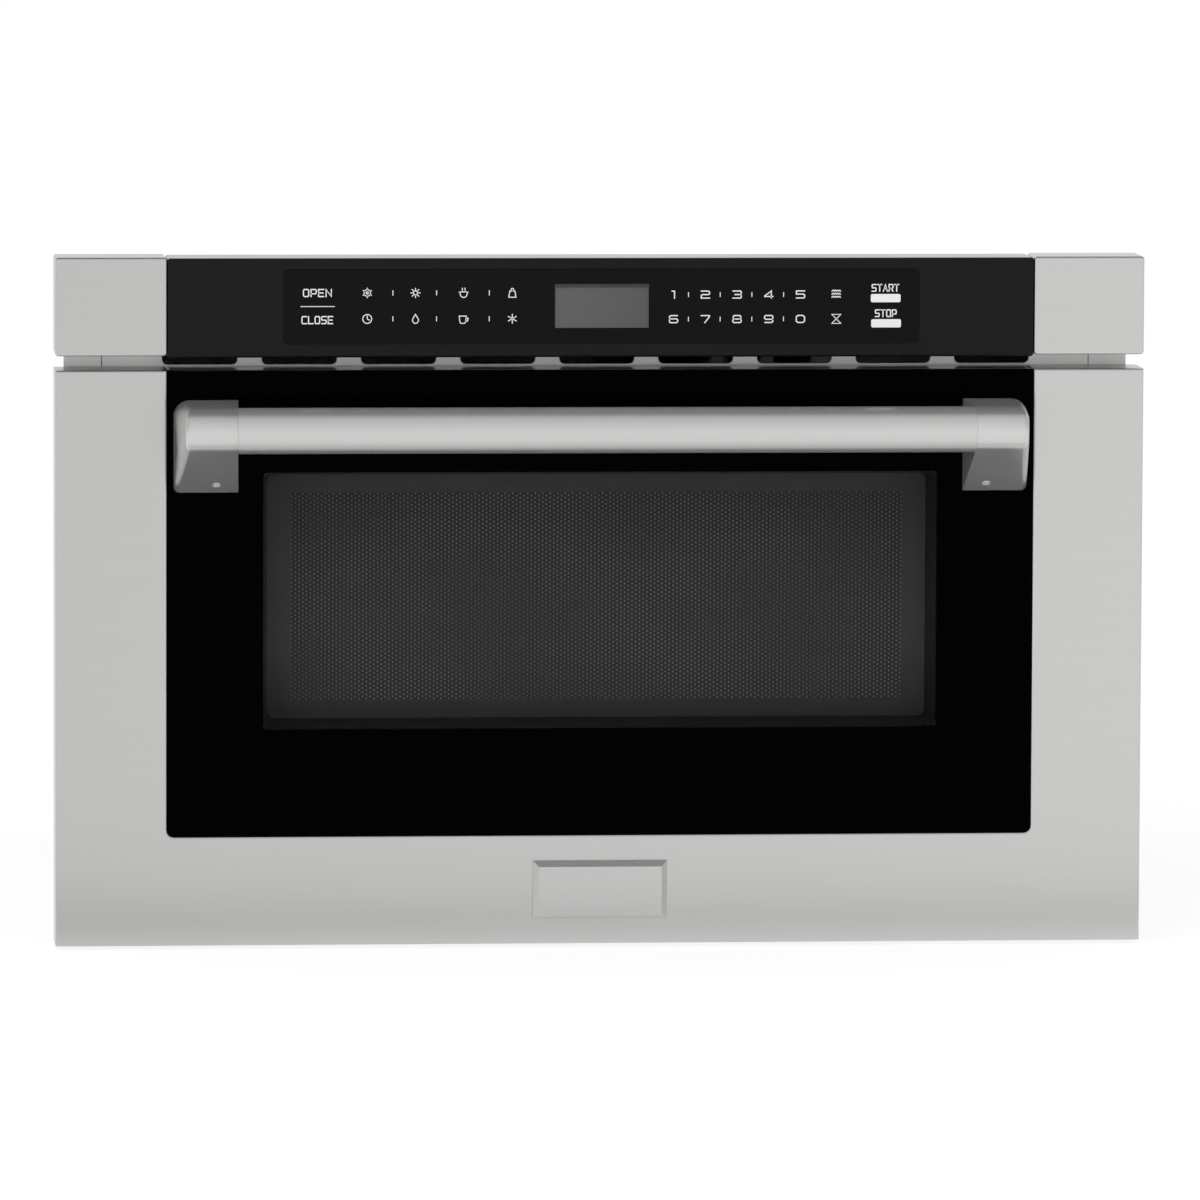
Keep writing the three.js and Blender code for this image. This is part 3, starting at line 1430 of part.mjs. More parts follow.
// Glossy moulding, open at the back, with a shallow recess for the overlay and a display window.
function controlPanel() {
  const half = glass.half - SEAT;
  const height = [control.bottom - PANEL_DROP, control.top - PANEL_DROP / 2];
  const outline = plate([-half, half], height, CONTROL_CORNER);
  const made = softPrism(outline, [0, control.back], FRONT_EDGE);
  const inside = block(
    [PANEL_WALL - half, half - PANEL_WALL],
    [PANEL_WALL, control.back + 1],
    [height[0] + PANEL_WALL, height[1] - PANEL_WALL],
  );
  const recess = prism(
    plate(
      around(0, OVERLAY_WIDTH + 2 * SEAT),
      around(control.middle, OVERLAY_HEIGHT + 2 * SEAT),
      OVERLAY_CORNER + SEAT,
    ),
    "y",
    [-1, OVERLAY_THICKNESS + 2 * SEAT],
  );
  return cutAll(made, [inside, recess, displayOpening([0, PANEL_WALL + 1])]);
}

const displayOpening = (depth) =>
  block(around(0, DISPLAY_WIDTH), depth, around(control.middle, DISPLAY_HEIGHT));

function controlOverlay() {
  return prism(
    plate(around(0, OVERLAY_WIDTH), around(control.middle, OVERLAY_HEIGHT), OVERLAY_CORNER),
    "y",
    [SEAT, SEAT + OVERLAY_THICKNESS],
  );
}

// Circuit board with the display standing forward behind its window, relays and connectors.
function controlBoard() {
  const half = OVERLAY_WIDTH / 2 + 10;
  const height = CONTROL_HEIGHT - 2 * PANEL_WALL - 4;
  const back = BOARD_DEPTH + BOARD_THICKNESS;
  const board = block([-half, half], [BOARD_DEPTH, back], around(control.middle, height));
  const display = block(
    around(0, DISPLAY_WIDTH - 2 * SEAT),
    [OVERLAY_THICKNESS + 3 * SEAT, BOARD_DEPTH + 0.5],
    around(control.middle, DISPLAY_HEIGHT - 2 * SEAT),
  );
  const posts = row(2, 2 * half - 8).map((x) =>
    block(around(x, 5), [PANEL_WALL + SEAT, BOARD_DEPTH + 0.5], around(control.middle, 5)),
  );
  const parts = row(4, 60, 20).map((x, i) =>
    block(around(x, 14 + 4 * i), [back - 0.5, back + 8 + i], around(control.middle, 14)),
  );
  return joinAll([board, display, ...posts, ...parts]);
}

// Right-hand stainless cap, folded back on every side.
function endCap() {
  const span = [glass.half, front.half];
  const height = [control.bottom, control.top];
  const made = softPrism(plate(span, height, CONTROL_CORNER), [0, control.back], FRONT_EDGE);
  const t = FRONT_SHEET;
  return made.subtract(
    block([span[0] + t, span[1] - t], [t, control.back + 1], [height[0] + t, height[1] - t]),
  );
}

// ---------------------------------------------------------------- rear details

// Snap-in bushing for the mains cord, clamped in the rear panel.
function cordBushing() {
  const centre = [cordX, pan.top + CORD_RISE];
  const neck = BUSHING_RADIUS - 3 * SEAT;
  const barrel = rod("y", neck, [body.rearFace - 6, body.back + 6], centre, 20);
  const collar = rod("y", BUSHING_RADIUS + 2, [body.back + SEAT, body.back + 4], centre, 20);
  const barb = rod("y", BUSHING_RADIUS + 1, [body.rearFace - 5, body.rearFace - SEAT], centre, 20);
  const hole = rod("y", CORD_HOLE_RADIUS, [body.rearFace - 7, body.back + 7], centre, 16);
  return joinAll([barrel, collar, barb]).subtract(hole);
}

// Mains filter, relays and smoothing cans on a board over the rear of the cavity.
function powerBoard() {
  const bottom = cavity.top + SEAT;
  const y = cavity.back - POWER_BOARD_DEPTH / 2 - 2 * BOARD_MARGIN;
  const x = powerBoardX;
  const under = bottom + BOARD_STANDOFF;
  const top = under + BOARD_THICKNESS;
  const sunk = BOARD_THICKNESS / 8; // parts start a little inside the board
  const board = block(around(x, POWER_BOARD_WIDTH), around(y, POWER_BOARD_DEPTH), [under, top]);
  const posts = row(2, POWER_BOARD_WIDTH - 2 * BOARD_MARGIN, x).flatMap((px) =>
    row(2, POWER_BOARD_DEPTH - 2 * BOARD_MARGIN, y).map((py) =>
      rod("z", BOARD_MARGIN / 2, [bottom, under + sunk], [px, py], 8),
    ),
  );
  const relayRow = y + POWER_BOARD_DEPTH / 4;
  const filterRow = y - POWER_BOARD_DEPTH / 4;
  const relays = row(4, RELAY_PITCH, x).map((px) =>
    block(around(px, RELAY_WIDTH), around(relayRow, RELAY_DEPTH), [top - sunk, top + RELAY_HEIGHT]),
  );
  const choke = rod(
    "z",
    CHOKE_RADIUS,
    [top - sunk, top + CHOKE_HEIGHT],
    [x - POWER_BOARD_WIDTH / 4, filterRow],
    16,
  );
  const cans = row(2, 3 * CAN_RADIUS, x + POWER_BOARD_WIDTH / 6).map((px) =>
    rod("z", CAN_RADIUS, [top - sunk, top + CAN_HEIGHT], [px, filterRow], 12),
  );
  return joinAll([board, ...posts, ...relays, choke, ...cans]);
}

// ---------------------------------------------------------------- assembly

const microwaveDrawer = new THREE.Group();

// A sub-assembly, optionally at its own place or mirrored to the left.
function group(parent, { at = [0, 0, 0], side = 1 } = {}) {
  const made = new THREE.Group();
  made.position.set(...at);
  made.scale.x = side;
  parent.add(made);
  return made;
}

const sides = [
  ["left", -1],
  ["right", 1],
];

const chassis = group(microwaveDrawer);
add(chassis, "base_pan", basePan(), galvanised);
add(chassis, "rear_panel", rearPanel(), galvanised);
add(chassis, "top_cover", topCover(), galvanised);
add(chassis, "front_flange", frontFlange(), galvanised);
add(chassis, "cavity_floor", cavityFloor(), cavityEnamel);
add(chassis, "cavity_ceiling", cavityCeiling(), cavityEnamel);
add(chassis, "cavity_rear", cavityRear(), cavityEnamel);
add(chassis, "waveguide", waveguide(), galvanised);
add(chassis, "air_duct", airDuct(), galvanised);
add(chassis, "lamp", lampHolder(), whitePlastic);
add(chassis, "power_board", powerBoard(), boardGreen);
add(chassis, "cord_bushing", cordBushing(), blackPlastic);
add(chassis, "switch_block", switchBlock(), whitePlastic);
for (const { name, x, y } of footPlaces) {
  add(group(chassis, { at: [x, y, 0] }), name, foot(), blackPlastic);
}
for (const [hand, side] of sides) {
  const half = group(chassis, { side });
  add(half, `side_panel_${hand}`, sidePanel(), galvanised);
  add(half, `mounting_strip_${hand}`, mountingStrip(), galvanised);
  add(half, `cavity_wall_${hand}`, cavityWall(side > 0), cavityEnamel);
  add(half, `slide_outer_${hand}`, slideOuter(), galvanised);
  add(half, `end_cap_${hand}`, endCap(), brushedSteel);
}

const magnetronAxis = group(chassis, { at: [0, magnetron.y, 0] });
add(magnetronAxis, "magnetron", magnetronBody(), aluminium);
add(magnetronAxis, "magnetron_dome", magnetronDome(), aluminium);
const rearBay = group(chassis, { at: [0, (cavity.back + body.rearFace) / 2, 0] });
add(group(rearBay, { at: [transformerX, 0, 0] }), "transformer", transformer(), copper);
add(group(rearBay, { at: [capacitorX, 0, 0] }), "capacitor", capacitor(), aluminium);

const fanAxis = group(chassis, { at: [fanX, 0, fan.z] });
add(fanAxis, "fan_shroud", fanShroud(), blackPlastic);
add(fanAxis, "fan_motor", fanMotor(), galvanised);
add(fanAxis, "fan_impeller", fanImpeller(), blackPlastic);

const antennaAxis = group(chassis, { at: [0, tub.middle, 0] });
add(antennaAxis, "antenna_motor", antennaMotor(), galvanised);
add(antennaAxis, "antenna", antenna(), aluminium);

const pinionAxis = group(chassis, { at: [pinion.x, pinion.y, 0] });
add(pinionAxis, "drive_motor", driveMotor(), blackPlastic);
add(pinionAxis, "drive_pinion", drivePinion(), whitePlastic);

const controlRow = group(chassis);
add(controlRow, "control_panel", controlPanel(), blackPlastic);
add(controlRow, "control_overlay", controlOverlay(), blackGlass);
add(controlRow, "control_board", controlBoard(), boardGreen);

const drawer = group(microwaveDrawer);
add(drawer, "door_frame", doorFrame(), brushedSteel);
add(drawer, "door_glass", doorGlass(), blackGlass);
add(drawer, "door_carrier", doorCarrier(), blackPlastic);
add(drawer, "door_screen", doorScreen(), blackEnamel);
add(drawer, "door_back", doorBack(), galvanised);
add(drawer, "inner_window", innerWindow(), clearGlass);
add(drawer, "door_seal", doorSeal(), sealRubber);
add(drawer, "drawer_tub", drawerTub(), cavityEnamel);
add(drawer, "ceramic_tray", ceramicTray(), trayCeramic);
add(drawer, "name_plate", namePlate(), satinSteel);
add(drawer, "drive_rack", driveRack(), whitePlastic);
add(drawer, "interlock_tongue", interlockTongue(), galvanised);
add(drawer, "handle_bar", handleBar(), satinSteel);
for (const [hand, side] of sides) {
  const half = group(drawer, { side });
  add(half, `handle_bracket_${hand}`, handleBracket(), satinSteel);
  add(half, `slide_inner_${hand}`, slideInner(), galvanised);
  add(group(chassis, { side }), `slide_middle_${hand}`, slideMiddle(), galvanised);
}

// The origin is at the middle of the whole, from the handle to the bushing, on the shelf.
const deepest = body.back + 6;
microwaveDrawer.position.y = (HANDLE_REACH - deepest) / 2;

export default microwaveDrawer;
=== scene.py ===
import math
import bmesh
import bpy
from mathutils import Matrix, Vector


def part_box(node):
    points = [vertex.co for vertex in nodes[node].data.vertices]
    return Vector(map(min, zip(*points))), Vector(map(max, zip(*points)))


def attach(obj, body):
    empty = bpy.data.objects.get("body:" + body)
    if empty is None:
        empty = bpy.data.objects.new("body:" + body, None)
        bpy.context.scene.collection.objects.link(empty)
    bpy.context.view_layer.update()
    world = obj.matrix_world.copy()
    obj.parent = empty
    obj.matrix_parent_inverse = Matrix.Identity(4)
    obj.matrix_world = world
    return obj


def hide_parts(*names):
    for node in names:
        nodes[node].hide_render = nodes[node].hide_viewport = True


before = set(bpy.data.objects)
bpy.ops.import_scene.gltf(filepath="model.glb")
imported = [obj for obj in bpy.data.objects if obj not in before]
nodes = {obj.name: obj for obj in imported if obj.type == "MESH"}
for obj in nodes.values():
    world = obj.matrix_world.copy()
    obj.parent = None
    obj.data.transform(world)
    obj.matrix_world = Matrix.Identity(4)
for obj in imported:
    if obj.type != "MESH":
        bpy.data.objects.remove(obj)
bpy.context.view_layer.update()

# ---- Housing
# Base pan, side panels, rear panel, top cover and the door's back panel are folded from hot-dip galvanised
# steel sheet. The waveguide and the warm-air duct are pressed from the same sheet and spot welded.

ZINC_CRYSTAL = 11  # mm across one crystal of the spangle
ZINC_WEAR = 60  # across a patch that has dulled more
ZINC_DULL = "9a9fa1"
ZINC_BRIGHT = "b3b7b8"
PER_METRE = 1000  # millimetres, so that a texture's scale can be given by a size


def linear(colour):
    """An sRGB hex colour as a linear one."""
    parts = [int(colour[i : i + 2], 16) / 255 for i in (0, 2, 4)]
    return (*(c / 12.92 if c <= 0.04045 else ((c + 0.055) / 1.055) ** 2.4 for c in parts), 1)


def put(tree, kind, inputs=None, **settings):
    """Adds a shader node: its settings, then its inputs, each a value or another node's output."""
    made = tree.nodes.new("ShaderNode" + kind)
    for name, value in settings.items():
        setattr(made, name, value)
    for name, value in (inputs or {}).items():
        if isinstance(value, bpy.types.NodeSocket):
            tree.links.new(value, made.inputs[name])
        else:
            made.inputs[name].default_value = value
    return made


def material(name, base, **inputs):
    """A material with one principled shader, to which textures are then linked."""
    made = bpy.data.materials.new(name)
    made.use_nodes = True
    tree = made.node_tree
    tree.nodes.clear()
    inputs = {key.replace("_", " "): value for key, value in inputs.items()}
    shader = put(tree, "BsdfPrincipled", {"Base Color": linear(base), **inputs})
    put(tree, "OutputMaterial", {"Surface": shader.outputs["BSDF"]})
    place = put(tree, "TexCoord").outputs["Object"]
    return made, tree, shader, place


def textured(tree, place, kind, size, inputs=None, **settings):
    """A texture with features of a size in millimetres, the same in every direction or one for each."""
    sizes = size if isinstance(size, tuple) else (size,) * 3
    scales = [PER_METRE / length for length in sizes]
    scaled = put(tree, "VectorMath", {0: place, 1: scales}, operation="MULTIPLY").outputs[0]
    return put(tree, kind, {"Vector": scaled, "Scale": 1, **(inputs or {})}, **settings)


def varied(tree, shader, factor, roughness=None, tones=None, start=0, end=1):
    """Lets a factor change the roughness, while it runs from start to end, or mix two tones."""
    if roughness:
        inputs = {"Value": factor, "From Min": start, "From Max": end}
        spread = put(tree, "MapRange", {**inputs, "To Min": roughness[0], "To Max": roughness[1]})
        tree.links.new(spread.outputs["Result"], shader.inputs["Roughness"])
    if tones:
        # Sockets 6 and 7 of a mix take its colours.
        colours = [linear(tone) if isinstance(tone, str) else tone for tone in tones]
        mix = put(tree, "Mix", {0: factor, 6: colours[0], 7: colours[1]}, data_type="RGBA")
        tree.links.new(mix.outputs[2], shader.inputs["Base Color"])


def raised(tree, shader, height, depth, edge=0):
    """Bumps of a depth, and edges that look rounded to a radius, both in millimetres."""
    bump = put(tree, "Bump", {"Height": height, "Distance": depth / PER_METRE, "Strength": 1})
    if edge:
        rounding = put(tree, "Bevel", {"Radius": edge / PER_METRE}, samples=6)
        tree.links.new(rounding.outputs["Normal"], bump.inputs["Normal"])
    tree.links.new(bump.outputs["Normal"], shader.inputs["Normal"])


def dress(finish, *names):
    """Gives CAD nodes a finish."""
    for name in names:
        for used in nodes[name].material_slots:
            used.material = finish


# Galvanised sheet: flat crystals of zinc, each a little lighter or darker and duller than the next.
galvanised, tree, shader, place = material("galvanised_sheet", ZINC_DULL, Metallic=1)
crystals = textured(tree, place, "TexVoronoi", ZINC_CRYSTAL)
tone = put(tree, "RGBToBW", {"Color": crystals.outputs["Color"]}).outputs["Val"]
dust = textured(tree, place, "TexNoise", ZINC_WEAR, {"Detail": 6}).outputs["Fac"]
varied(tree, shader, tone, tones=(ZINC_DULL, ZINC_BRIGHT))
wear = put(tree, "Math", {0: tone, 1: dust}, operation="ADD").outputs[0]
varied(tree, shader, wear, (0.34, 0.56), start=0.4, end=1.5)
raised(tree, shader, tone, 0.01)
dress(
    galvanised,
    "base_pan",
    "rear_panel",
    "top_cover",
    "side_panel_left",
    "side_panel_right",
    "waveguide",
    "air_duct",
    "door_back",
)

# ---- Screws of the housing
# Pan-head tapping screws with a cross recess hold the panels to each other along their edges. They are
# rolled from steel wire and zinc plated.

SCREW_HEAD = 3.6  # radius, mm
SCREW_RISE = 2.1
RECESS_REACH = 1.9
RECESS_WIDTH = 0.75
RECESS_DEPTH = 1.2
SCREW_COLLAR = 0.5  # height of the head's straight side
DOME_STEPS = 6
SHARP_ANGLE = 40  # degrees between two faces, from which their edge stays sharp
BELOW_TOP = 12  # from a panel's upper edge down to its screws
ABOVE_FOOT = 10
FAN_CORNER = 4  # from the sides of the fan's shroud to its screws
REAR_SHARES = (0.03, 0.27, 0.5, 0.73, 0.97)  # of the way along the panel, for each screw
SIDE_SHARES = (0.04, 0.28, 0.52, 0.76, 0.97)
PLATE_LUSTRE = 8  # mm across a brighter patch of the plating


def solid(name, made, smooth=SHARP_ANGLE):
    """An object from a mesh built in millimetres in the frame's directions, with its edges kept sharp."""
    mesh = bpy.data.meshes.new(name)
    bmesh.ops.recalc_face_normals(made, faces=made.faces)
    made.to_mesh(mesh)
    made.free()
    mesh.transform(Matrix.Scale(1 / PER_METRE, 4))
    mesh.shade_smooth()
    mesh.set_sharp_from_angle(angle=math.radians(smooth))
    piece = bpy.data.objects.new(name, mesh)
    bpy.context.scene.collection.objects.link(piece)
    return piece


def finished(piece, finish, slot, body, *stands_for):
    """A piece with its finish, the body it moves with and the CAD nodes it stands for. The slot is not
    used.
    """
    piece.data.materials.clear()
    piece.data.materials.append(finish)
    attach(piece, body)
    if stands_for:
        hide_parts(*stands_for)
    return piece


def turned(made, profile, sides=32):
    """Adds a profile of (radius, height) points turned about +Z, closed where it meets the axis."""
    rings = []
    for radius, height in profile:
        if radius == 0:
            rings.append([made.verts.new((0, 0, height))])
            continue
        ring = []
        for i in range(sides):
            angle = 2 * math.pi * i / sides
            ring.append(made.verts.new((radius * math.cos(angle), radius * math.sin(angle), height)))
        rings.append(ring)
    for low, high in zip(rings, rings[1:]):
        for i in range(sides):
            lower = [low[i % len(low)], low[(i + 1) % len(low)]]
            upper = [high[(i + 1) % len(high)], high[i % len(high)]]
            made.faces.new(list(dict.fromkeys(lower + upper)))


def screw_head():
    """One head, seated at z = 0, with a cross cut into its top."""
    made = bmesh.new()
    dome = [(SCREW_HEAD, 0), (SCREW_HEAD, SCREW_COLLAR)]
    for step in range(1, DOME_STEPS):
        angle = math.radians(90 / DOME_STEPS * step)
        height = SCREW_COLLAR + (SCREW_RISE - SCREW_COLLAR) * math.sin(angle)
        dome.append((SCREW_HEAD * math.cos(angle), height))
    turned(made, [(0, 0), *dome, (0, SCREW_RISE)], 24)
    head = solid("screw_head", made)
    tool = bmesh.new()
    for long_side, short_side in ((RECESS_REACH, RECESS_WIDTH), (RECESS_WIDTH, RECESS_REACH)):
        size = Matrix.Diagonal((2 * long_side, 2 * short_side, 2 * RECESS_DEPTH, 1))
        bmesh.ops.create_cube(tool, size=1, matrix=Matrix.Translation((0, 0, SCREW_RISE)) @ size)
    cutter = solid("recess_tool", tool)
    cut(head, cutter, use_self=True)
    mesh = head.data
    bpy.data.objects.remove(head)
    return mesh


def cut(piece, cutter, use_self=False):
    """Takes one object's solid out of another's and deletes the cutter."""
    modifier = piece.modifiers.new("cut", "BOOLEAN")
    modifier.object = cutter
    modifier.operation = "DIFFERENCE"
    modifier.solver = "EXACT"
    modifier.use_self = use_self
    bpy.context.view_layer.update()
    evaluated = piece.evaluated_get(bpy.context.evaluated_depsgraph_get())
    mesh = bpy.data.meshes.new_from_object(evaluated)
    piece.modifiers.clear()
    piece.data = mesh
    bpy.data.objects.remove(cutter)


def screws(name, places):
    """Copies of the head at (place, outward direction) pairs, in metres, as one piece."""
    made = bmesh.new()
    for spot, outward in places:
        turn = Vector(outward).to_track_quat("Z", "Y").to_matrix().to_4x4()
        copy = head_mesh.copy()
        copy.transform(Matrix.Translation(spot) @ turn)
        made.from_mesh(copy)
        bpy.data.meshes.remove(copy)
    mesh = bpy.data.meshes.new(name)
    made.to_mesh(mesh)
    made.free()
    mesh.set_sharp_from_angle(angle=math.radians(SHARP_ANGLE))
    piece = bpy.data.objects.new(name, mesh)
    bpy.context.scene.collection.objects.link(piece)
    return finished(piece, zinc_plate, "galvanised_steel", "chassis")


# Bright zinc plate: smooth and even, with a faint cool tone.
zinc_plate, tree, shader, place = material("bright_zinc_plate", "b9bcbd", Metallic=1)
lustre = textured(tree, place, "TexNoise", PLATE_LUSTRE, {"Detail": 4}).outputs["Fac"]
varied(tree, shader, lustre, (0.22, 0.42), ("b2b6b8", "c2c3c1"))

head_mesh = screw_head()
below, above = BELOW_TOP / PER_METRE, ABOVE_FOOT / PER_METRE
low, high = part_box("rear_panel")
rear_x = [low.x + (high.x - low.x) * share for share in REAR_SHARES]
rear_y = high.y
places = [((x, rear_y, high.z - below), (0, 1, 0)) for x in rear_x]
places += [((x, rear_y, low.z + above), (0, 1, 0)) for x in rear_x]
corner = FAN_CORNER / PER_METRE
fan_low, fan_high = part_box("fan_shroud")
for x in (fan_low.x + corner, fan_high.x - corner):
    for z in (fan_low.z + corner, fan_high.z - corner):
        places.append(((x, rear_y, z), (0, 1, 0)))
low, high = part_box("side_panel_right")
for share in SIDE_SHARES:
    y = low.y + (high.y - low.y) * share
    for side in (-1, 1):
        places.append(((side * high.x, y, low.z + above), (side, 0, 0)))
        places.append(((side * high.x, y, high.z - below), (side, 0, 0)))
screws("housing_screws", places)

# ---- Front flange and mounting strips
# The flange is the body's stainless front plate, with nine vent slots punched over the drawer. The strips
# beside it are angles that the cabinet screws go through. Both are of plain cold-rolled stainless sheet.

FLANGE_TONE = "cfcfce"
PUNCHED_EDGE = 0.7  # rounding that the punch and the press leave on an edge, mm
ROLLED_LINES = (90, 90, 0.8)  # mm, wider lines than the real ones, so that they show

# Cold-rolled stainless steel: even and satin, with faint level lines from the rolls.
cold_rolled, tree, shader, place = material("cold_rolled_stainless", FLANGE_TONE, Metallic=1)
rolling = textured(tree, place, "TexNoise", ROLLED_LINES, {"Detail": 3}).outputs["Fac"]
varied(tree, shader, rolling, (0.3, 0.46), ("cacac9", "d5d5d4"))
raised(tree, shader, rolling, 0.004, PUNCHED_EDGE)
dress(cold_rolled, "front_flange", "mounting_strip_left", "mounting_strip_right")

# ---- Cavity
# The cavity's floor, walls, ceiling and rear wall, and the drawer's tub, are steel under a grey enamel that
# is sprayed with a darker speckle and fired.

SPECKLE = 1.1  # mm between the places where a speck may lie
SPECK_EDGE = (0.16, 0.3)  # part of that distance over which a speck fades
SPECK_CHOICE = (0.6, 0.64)  # random tone of a place, from no speck to a full one
ENAMEL_RIPPLE = 3  # mm from crest to crest

# Speckled enamel: a glassy skin with a slight ripple, and small dark specks.
enamel, tree, shader, place = material("speckled_enamel", "7b7d80", Metallic=0, IOR=1.52)
specks = textured(tree, place, "TexVoronoi", SPECKLE)
few = put(tree, "RGBToBW", {"Color": specks.outputs["Color"]}).outputs["Val"]
fade = {"From Min": SPECK_EDGE[0], "From Max": SPECK_EDGE[1], "To Min": 1, "To Max": 0}
near = put(tree, "MapRange", {"Value": specks.outputs["Distance"], **fade}).outputs["Result"]
chance = {"Value": few, "From Min": SPECK_CHOICE[0], "From Max": SPECK_CHOICE[1]}
chosen = put(tree, "MapRange", chance).outputs["Result"]
speck = put(tree, "Math", {0: near, 1: chosen}, operation="MULTIPLY").outputs[0]
varied(tree, shader, speck, tones=("84868a", "4c4e52"))
peel = textured(tree, place, "TexNoise", ENAMEL_RIPPLE).outputs["Fac"]
varied(tree, shader, peel, (0.2, 0.34))
raised(tree, shader, peel, 0.03)
dress(
    enamel,
    "cavity_floor",
    "cavity_ceiling",
    "cavity_rear",
    "cavity_wall_left",
    "cavity_wall_right",
    "drawer_tub",
)

# ---- Tray, inner window and seal
# The food stands on a plate of glass-ceramic that lies on the tub's ledge. The inner window is tempered
# glass, and the seal round the mouth is moulded silicone rubber.

CERAMIC_CLOUD = 70  # mm
CERAMIC_RIPPLE = 5
WINDOW_SMEAR = 40
RUBBER_BLOOM = 12

# Glass-ceramic: pale and smooth, with soft clouds and a shine that ripples.
ceramic, tree, shader, place = material("glass_ceramic_tray", "d9d5ca", Roughness=0.12, IOR=1.54)
cloud = textured(tree, place, "TexNoise", CERAMIC_CLOUD, {"Detail": 5}).outputs["Fac"]
varied(tree, shader, cloud, tones=("d2cec3", "e0dcd2"))
ripple = textured(tree, place, "TexNoise", CERAMIC_RIPPLE).outputs["Fac"]
raised(tree, shader, ripple, 0.02)
dress(ceramic, "ceramic_tray")

# Tinted glass: see-through but dark, and faintly smeared.
inner_glass, tree, shader, place = material(
    "tinted_inner_glass", "3b3f41", Roughness=0.05, IOR=1.5, Alpha=0.45
)
smear = textured(tree, place, "TexNoise", WINDOW_SMEAR, {"Detail": 4}).outputs["Fac"]
varied(tree, shader, smear, (0.02, 0.09))
dress(inner_glass, "inner_window")

# Silicone rubber: dark and dull, with a paler bloom in places.
silicone, tree, shader, place = material("silicone_rubber", "3a3a38", IOR=1.41)
bloom = textured(tree, place, "TexNoise", RUBBER_BLOOM, {"Detail": 5}).outputs["Fac"]
varied(tree, shader, bloom, (0.62, 0.8), ("343432", "42423f"))
raised(tree, shader, bloom, 0.02)
dress(silicone, "door_seal")

# ---- Slides
# Three-member telescopic slides of roll-formed steel, zinc plated. Steel balls run in cages between the
# members, in a row above and a row below the middle one.

BALL_INSET = 1.35  # from the edge of the middle member to the balls' middle, mm
BALL_SHOWS = 0.35  # how far the balls stand out past that edge
BALL_SMOOTH = 80  # degrees, so that no edge of a ball shows
BALL_PITCH = 12
BALLS_FROM_END = 30
OIL_FILM = 4  # mm across a drop of the film

for side in ("left", "right"):
    for part in ("outer", "middle", "inner"):
        dress(zinc_plate, f"slide_{part}_{side}")
dress(zinc_plate, "interlock_tongue")

# Polished ball steel: a bright mirror under a film of oil.
chrome_steel, tree, shader, place = material("polished_ball_steel", "c9cacb", Metallic=1)
oil = textured(tree, place, "TexNoise", OIL_FILM).outputs["Fac"]
varied(tree, shader, oil, (0.08, 0.18))

for side in ("left", "right"):
    low, high = (corner * PER_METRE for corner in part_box(f"slide_middle_{side}"))
    made = bmesh.new()
    x = (low.x + high.x) / 2
    y = low.y + BALLS_FROM_END
    while y < high.y - BALLS_FROM_END:
        for z in (low.z + BALL_INSET, high.z - BALL_INSET):
            spot = Matrix.Translation((x, y, z))
            radius = BALL_INSET + BALL_SHOWS
            bmesh.ops.create_icosphere(made, subdivisions=2, radius=radius, matrix=spot)
        y += BALL_PITCH
    balls = solid(f"slide_balls_{side}", made, smooth=BALL_SMOOTH)
    finished(balls, chrome_steel, "satin_steel", f"{side}_slide_member")

# ---- Drive
# A gear motor in a nylon gearbox lies on the base pan. Its pinion drives a rack under the drawer. Pinion
# and rack are moulded in white acetal, like the interlock's switch block and the lamp holder.

FLOW_MARK = 25  # mm
FIBRE = 2  # mm, coarser than the real fibres, so that they show

# White acetal: moulded, off-white and a little waxy.
acetal, tree, shader, place = material("white_acetal", "e3e1d9", IOR=1.48)
flow = textured(tree, place, "TexNoise", FLOW_MARK, {"Detail": 4}).outputs["Fac"]
varied(tree, shader, flow, (0.34, 0.5), ("dcd9cf", "e9e7e0"))
raised(tree, shader, flow, 0.02)
dress(acetal, "drive_pinion", "drive_rack", "switch_block", "lamp")

# Glass-filled nylon: nearly black, with fibres that roughen its skin and dull it.
nylon, tree, shader, place = material("glass_filled_nylon", "1d1d1e", IOR=1.53)
fibre = textured(tree, place, "TexNoise", FIBRE, {"Detail": 6}).outputs["Fac"]
varied(tree, shader, fibre, (0.42, 0.66), ("171718", "29292a"))
raised(tree, shader, fibre, 0.05)
dress(
    nylon,
    "drive_motor",
    "fan_shroud",
    "fan_impeller",
    "cord_bushing",
    "foot_front_left",
    "foot_front_right",
    "foot_rear_left",
    "foot_rear_right",
)

# ---- Heating and electrical pieces
# Magnetron, rotating antenna and capacitor can are aluminium. The transformer is a stack of steel
# laminations with enamelled copper windings. The boards are green glass-epoxy laminate.

WINDING_WIRE = 1.2  # mm across one turn
CORE_HALF = 22.2  # half the depth of the laminations, beyond which the windings bulge
CORE_EDGE = 0.2  # over which the colour changes
MILL_LINES = (40, 1.5, 40)  # mm, wider lines than the real ones, so that they show
CRYSTAL_SKIN = 3  # mm, coarser than the real crystals, so that they show
TRACK_PITCH = 9

# Mill-finish aluminium: light and satin, with the fine lines that rolling leaves.
aluminium, tree, shader, place = material("mill_finish_aluminium", "c6c9cc", Metallic=1)
mill = textured(tree, place, "TexNoise", MILL_LINES, {"Detail": 3}).outputs["Fac"]
varied(tree, shader, mill, (0.3, 0.5), ("c0c3c6", "cfd1d4"))
dress(aluminium, "magnetron", "magnetron_dome", "antenna", "capacitor")

# Phosphated steel: a fine grey skin of crystals, with little shine.
motor_steel, tree, shader, place = material("phosphated_motor_steel", "8b8d8d", Metallic=1)
skin = textured(tree, place, "TexNoise", CRYSTAL_SKIN, {"Detail": 5}).outputs["Fac"]
varied(tree, shader, skin, (0.4, 0.6), ("7f8181", "999b9a"))
dress(motor_steel, "fan_motor", "antenna_motor")

